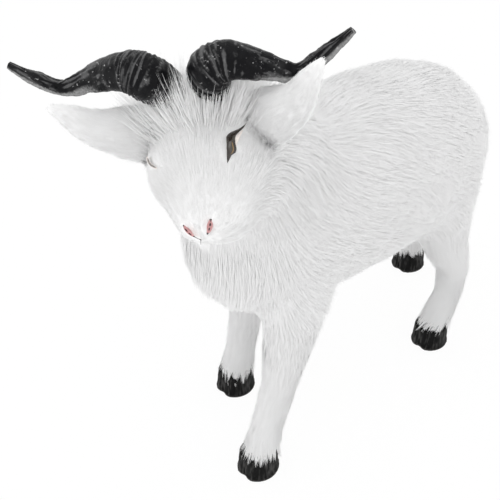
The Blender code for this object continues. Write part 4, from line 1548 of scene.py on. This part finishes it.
@dataclass
class Face:
    """Eyes, lids, nostrils and the lines about the mouth."""

    view: FaceView
    finishes: Finishes
    open_eye: Strip = Strip(
        ((7.7, 0.0), (7.5, 1.9), (7.5, 3.2), (7.5, 4.6), (7.4, 6.2), (7.4, 7.7), (7.3, 9.3), (7.4, 10.5), (8.5, 11.8),
         (10.3, 12.7), (12.1, 13.5), (13.7, 14.5), (15.3, 15.9)),
        ((7.8, 0.1), (8.7, 1.7), (9.4, 3.1), (10.9, 4.2), (11.3, 5.7), (10.9, 7.7), (10.8, 9.7), (11.1, 10.9),
         (11.9, 11.8), (12.6, 12.5), (13.5, 13.3), (14.4, 14.4), (15.35, 15.95)), 60, 24)
    lid: Strip = Strip(((10.6, 6.8), (10.5, 8.7), (10.8, 10.3), (11.7, 11.4), (13.3, 12.9)),
                       ((11.2, 6.8), (11.8, 8.3), (12.4, 9.7), (13.1, 11.2), (13.9, 12.8)), 12, 6)
    shut_eye: Strip = Strip(((-23.9, 2.6), (-23.9, 1.1), (-23.0, -0.6), (-21.7, -1.7), (-20.1, -2.3)),
                            ((-23.5, 2.6), (-23.0, 1.5), (-22.2, 0.1), (-21.1, -0.9), (-19.7, -1.8)), 24, 20)
    right_nostril: Strip = Strip.line(((-9.6, -24.1), (-8.8, -25.3), (-7.5, -26.7), (-6.3, -27.9), (-5.0, -28.9)),
                                      (0.15, 0.65, 0.85, 0.60, 0.12))
    left_nostril: Strip = Strip.line(((1.25, -21.8), (1.05, -23.3), (0.8, -24.8), (0.45, -26.3), (-0.25, -27.9)),
                                     (0.40, 1.00, 1.15, 0.85, 0.20))
    nose_line: Strip = Strip.line(((-5.3, -28.7), (-4.6, -29.1), (-3.6, -29.6), (-2.6, -29.9)),
                                  (0.14, 0.12, 0.10, 0.22))
    lip_line: Strip = Strip.line(((-2.6, -29.9), (-2.7, -30.6), (-2.7, -31.3), (-2.6, -32.0)),
                                 (0.20, 0.10, 0.10, 0.05))
    bare_spots: int = 30

    def build(self) -> None:
        """Lay every patch on the face, and keep where they lie, so that the fur stays off them."""
        self.spots = []
        self._open_eye()
        self._shut_eye()
        self._nostril("left_nostril", self.left_nostril, 0.52, 1.0 * MM)
        self._nostril("right_nostril", self.right_nostril, 0.30, 0.6 * MM)
        self.nostril_spots = self.spots[-self.bare_spots:]
        for name, strip in (("nose_line", self.nose_line), ("lip_line", self.lip_line)):
            along, _ = strip.shares()
            self._lay(name, strip, 0.55 * MM, 0.0, {"slit": np.full(along.shape, 0.75)}, Slot.EYE,
                      self.finishes.nostril)

    def _lay(self, name: str, strip: Strip, rise: float, bulge: float, marks: dict, slot: Slot,
             material: bpy.types.Material, *nodes: str) -> None:
        """Drape one strip and show it."""
        sheet = self.view.drape(strip.grid(), rise, bulge, name.endswith("nostril"))
        self.spots.extend(point for row in sheet[::2] for point in row[::2])
        add_piece(sheet_mesh(name, sheet, marks), slot, material, *nodes)

    def _open_eye(self) -> None:
        """The dark sliver with its amber crescent and a painted grey highlight, and the pale lid beside it."""
        along, across = self.open_eye.shares()
        window = ease(along, 0.17, 0.24) * ease(along, 0.47, 0.40)
        amber = np.exp(-((across - 0.68 + (along - 0.32) ** 2 * 3.5) / 0.05) ** 2) * window
        olive = ease(along, 0.22, 0.30) * ease(along, 0.46, 0.38)
        olive = olive * ease(across, 0.20, 0.35) * ease(across, 0.60, 0.50)
        # painted highlight: a grey patch on the eye stands in for a reflection
        painted_glint = ease(along, 0.44, 0.50) * ease(along, 0.62, 0.56) * ease(across, 0.55, 0.75)
        marks = {"amber": amber, "grey": np.maximum(olive * 0.6, painted_glint), "lid": np.zeros(along.shape)}
        self._lay("open_eye", self.open_eye, 1.0 * MM, 0.5 * MM, marks, Slot.EYE, self.finishes.eye, "left_eye")
        along, across = self.lid.shares()
        marks = {"amber": 0.0 * along, "grey": 0.0 * along, "lid": np.ones(along.shape)}
        self._lay("open_eye_lid", self.lid, 0.8 * MM, 0.0, marks, Slot.EYE, self.finishes.eye)

    def _shut_eye(self) -> None:
        """The nearly closed eye: a thin dark line in bare skin."""
        along, across = self.shut_eye.shares()
        line = np.exp(-((across - 0.55 - 0.10 * np.sin(along * 9.0)) / 0.34) ** 2)
        line = line * ease(along, 0.05, 0.22) * ease(along, 0.97, 0.85)
        marks = {"amber": 0.0 * along, "grey": 0.0 * along, "lid": 1.0 - line}
        self._lay("shut_eye", self.shut_eye, 0.7 * MM, 0.2 * MM, marks, Slot.EYE, self.finishes.eye, "right_eye")

    def _nostril(self, name: str, strip: Strip, middle: float, rise: float) -> None:
        """One pink nostril with its dark slit."""
        along, across = strip.shares()
        slit = np.exp(-((across - middle) / 0.20) ** 2) * (0.72 + 0.28 * np.sin(along * 21.0))
        ends = np.maximum(ease(along, 0.16, 0.04), ease(along, 0.80, 0.96))
        self._lay(name, strip, rise, 0.1 * MM, {"slit": np.maximum(slit, ends)}, Slot.EYE, self.finishes.nostril)


@dataclass
class FurredPart:
    """An ear or the tail: its CAD node as hide, with short fur over it."""

    ear_ways: ClassVar[dict] = {Side.LEFT: Vector((33.6, -5.4, 36.6)), Side.RIGHT: Vector((30.8, -4.4, 32.6))}
    layout: Layout
    finishes: Finishes
    node: str
    tip_way: Vector
    length: float
    lift: float
    density: float
    width: float
    clump: float = 0.35
    lock_size: float = 1.4 * MM
    voxel: float = 1.0 * MM
    tip_shorter: float = 0.55

    def build(self) -> None:
        """Grow the fur over the node's surface."""
        data = fine_copy(self.voxel, 3, self.node)
        surface = Surface.of(data)
        count = len(surface.points)
        along = np.array(self.tip_way.normalized())
        flow = along - surface.normals * (surface.normals @ along)[:, None]
        flow = Body.swirl(surface.points, surface.normals, unit(flow + 0.02))
        ends = ease(np.abs(surface.normals @ along), 0.95, 0.6)
        reach = surface.points @ along
        share = (reach - reach.min()) / (reach.max() - reach.min())
        length = self.length * (1.0 - self.tip_shorter * share)
        growth = Growth(flow, length, np.full(count, self.lift), np.full(count, self.density) * (0.3 + 0.7 * ends),
                        np.full(count, self.clump), np.full(count, self.width))
        fur = HairMaker().make(self.node + "_fur", surface, growth, np.arange(len(surface.triangles)),
                               self.lock_size)
        bpy.data.meshes.remove(data)
        add_piece(fur, Slot.FUR, self.finishes.fur)


@dataclass(frozen=True)
class Lamp:
    """A large round lamp: degrees round the goat and up, metres away and wide, and watts."""

    name: str
    azimuth: float
    elevation: float
    distance: float
    size: float
    power: float

    def build(self, middle: Vector) -> None:
        """Aim the lamp at the goat's middle."""
        back = bearing(self.azimuth, self.elevation)
        data = bpy.data.lights.new(self.name, "AREA")
        data.shape = "DISK"
        data.size = self.size
        data.energy = self.power
        lamp = bpy.data.objects.new(self.name, data)
        lamp.location = middle + back * self.distance
        lamp.rotation_mode = "QUATERNION"
        lamp.rotation_quaternion = back.to_track_quat("Z", "Y")
        bpy.context.scene.collection.objects.link(lamp)


@dataclass
class Studio:
    """Camera, floor, lamps and world."""

    layout: Layout
    focal_px: float = 900.0
    sensor_mm: float = 36.0
    picture_px: float = 500.0
    elevation: float = 37.0
    azimuth: float = 46.0
    distance: float = 0.45
    target: ClassVar[Vector] = Vector((-0.023, 0.0, 0.09))
    lit: Vector = Vector((0.0, 0.0, 0.12))
    lamps: tuple = (Lamp("main lamp", -18.0, 5.0, 1.6, 1.3, 4.0), Lamp("top lamp", 20.0, 78.0, 1.6, 1.2, 4.2),
                    Lamp("fill lamp", 85.0, 8.0, 1.8, 1.4, 1.9))
    floor_paint: tuple = (0.97, 0.97, 0.97, 1.0)
    floor_glow: float = 0.95
    sky: float = 0.95

    def build(self) -> None:
        """Set everything up."""
        self._camera()
        self._floor()
        for lamp in self.lamps:
            lamp.build(self.lit)
        self._world()
        bpy.context.scene.view_settings.view_transform = "Standard"

    def _camera(self) -> None:
        """A camera at the photograph's viewing angle."""
        back = bearing(self.azimuth, self.elevation)
        data = bpy.data.cameras.new("camera")
        data.sensor_width = self.sensor_mm
        data.lens = self.focal_px * self.sensor_mm / self.picture_px
        data.clip_start = 0.01
        camera = bpy.data.objects.new("camera", data)
        self.viewer = self.target + self.layout.shift() + back * self.distance
        camera.location = self.viewer
        camera.rotation_mode = "QUATERNION"
        camera.rotation_quaternion = back.to_track_quat("Z", "Y")
        bpy.context.scene.collection.objects.link(camera)
        bpy.context.scene.camera = camera

    def _floor(self) -> None:
        """A wide white floor, which keeps a soft shadow and shows white to the camera."""
        mesh = bmesh.new()
        bmesh.ops.create_grid(mesh, x_segments=1, y_segments=1, size=3.0)
        data = bpy.data.meshes.new("floor")
        mesh.to_mesh(data)
        mesh.free()
        floor = bpy.data.objects.new("floor", data)
        bpy.context.scene.collection.objects.link(floor)
        graph = Graph("white floor")
        paint = graph.node("ShaderNodeBsdfDiffuse", inputs={"Color": self.floor_paint})
        glow = graph.node("ShaderNodeEmission", inputs={"Color": (1.0, 1.0, 1.0, 1.0), "Strength": 1.0})
        camera_ray = graph.node("ShaderNodeLightPath", out="Is Camera Ray")
        surface = graph.node("ShaderNodeMixShader", inputs={0: camera_ray * self.floor_glow, 1: paint, 2: glow})
        graph.tree.links.new(surface.socket, graph.output.inputs["Surface"])
        data.materials.append(graph.material)

    def _world(self) -> None:
        """Even light from all round, white to the camera and in gloss."""
        world = bpy.data.worlds.new("studio")
        world.use_nodes = True
        bpy.context.scene.world = world
        tree = world.node_tree
        back = tree.nodes["Background"]
        back.inputs["Color"].default_value = (1.0, 1.0, 1.0, 1.0)
        path = tree.nodes.new("ShaderNodeLightPath")
        seen = tree.nodes.new("ShaderNodeMath")
        seen.operation = "MAXIMUM"
        strength = tree.nodes.new("ShaderNodeMapRange")
        strength.inputs["To Min"].default_value = self.sky
        strength.inputs["To Max"].default_value = 1.0
        tree.links.new(path.outputs["Is Camera Ray"], seen.inputs[0])
        tree.links.new(path.outputs["Is Glossy Ray"], seen.inputs[1])
        tree.links.new(seen.outputs[0], strength.inputs["Value"])
        tree.links.new(strength.outputs["Result"], back.inputs["Strength"])


def dress_nodes(finishes: Finishes) -> None:
    """Give the CAD nodes that stay their materials."""
    slots = {"horn": finishes.horn, "hoof": finishes.hoof, "eye": finishes.eye, "ear": finishes.hide,
             "tail": finishes.hide}
    for name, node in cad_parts.items():
        for word, material in slots.items():
            if name.endswith(word):
                node.data.materials.clear()
                node.data.materials.append(material)


def main() -> None:
    """Build the goat, piece by piece, and its studio."""
    logging.basicConfig(level=logging.INFO, format="%(name)s %(message)s")
    noise.seed_set(NOISE_SEED)
    layout = Layout()
    finishes = Finishes()
    studio = Studio(layout)
    studio.build()
    log.info("studio stands")
    dress_nodes(finishes)
    skins = [solid_tree(name) for name in ("body", "left_eye", "right_eye")]
    face = Face(FaceView(layout, studio.viewer, skins), finishes)
    face.build()
    log.info("face stands")
    Body(layout, finishes, face).build()
    log.info("body stands")
    for side in Side:
        Horn(layout, finishes, side).build()
        tip_way = layout.head_vector(FurredPart.ear_ways[side], side, EAR_SKEW)
        FurredPart(layout, finishes, side.word + "_ear", tip_way, 5.0 * MM, 10.0, 5.0 / MM ** 2, 0.15 * MM).build()
    FurredPart(layout, finishes, "tail", Vector((0.0, 0.25, -1.0)), 9.0 * MM, 16.0, 4.0 / MM ** 2, 0.2 * MM).build()
    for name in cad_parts:
        if name.endswith("hoof"):
            Hoof(finishes, name).build()
    log.info("horns, ears, tail and hooves stand")


if __name__ == "__main__":
    main()
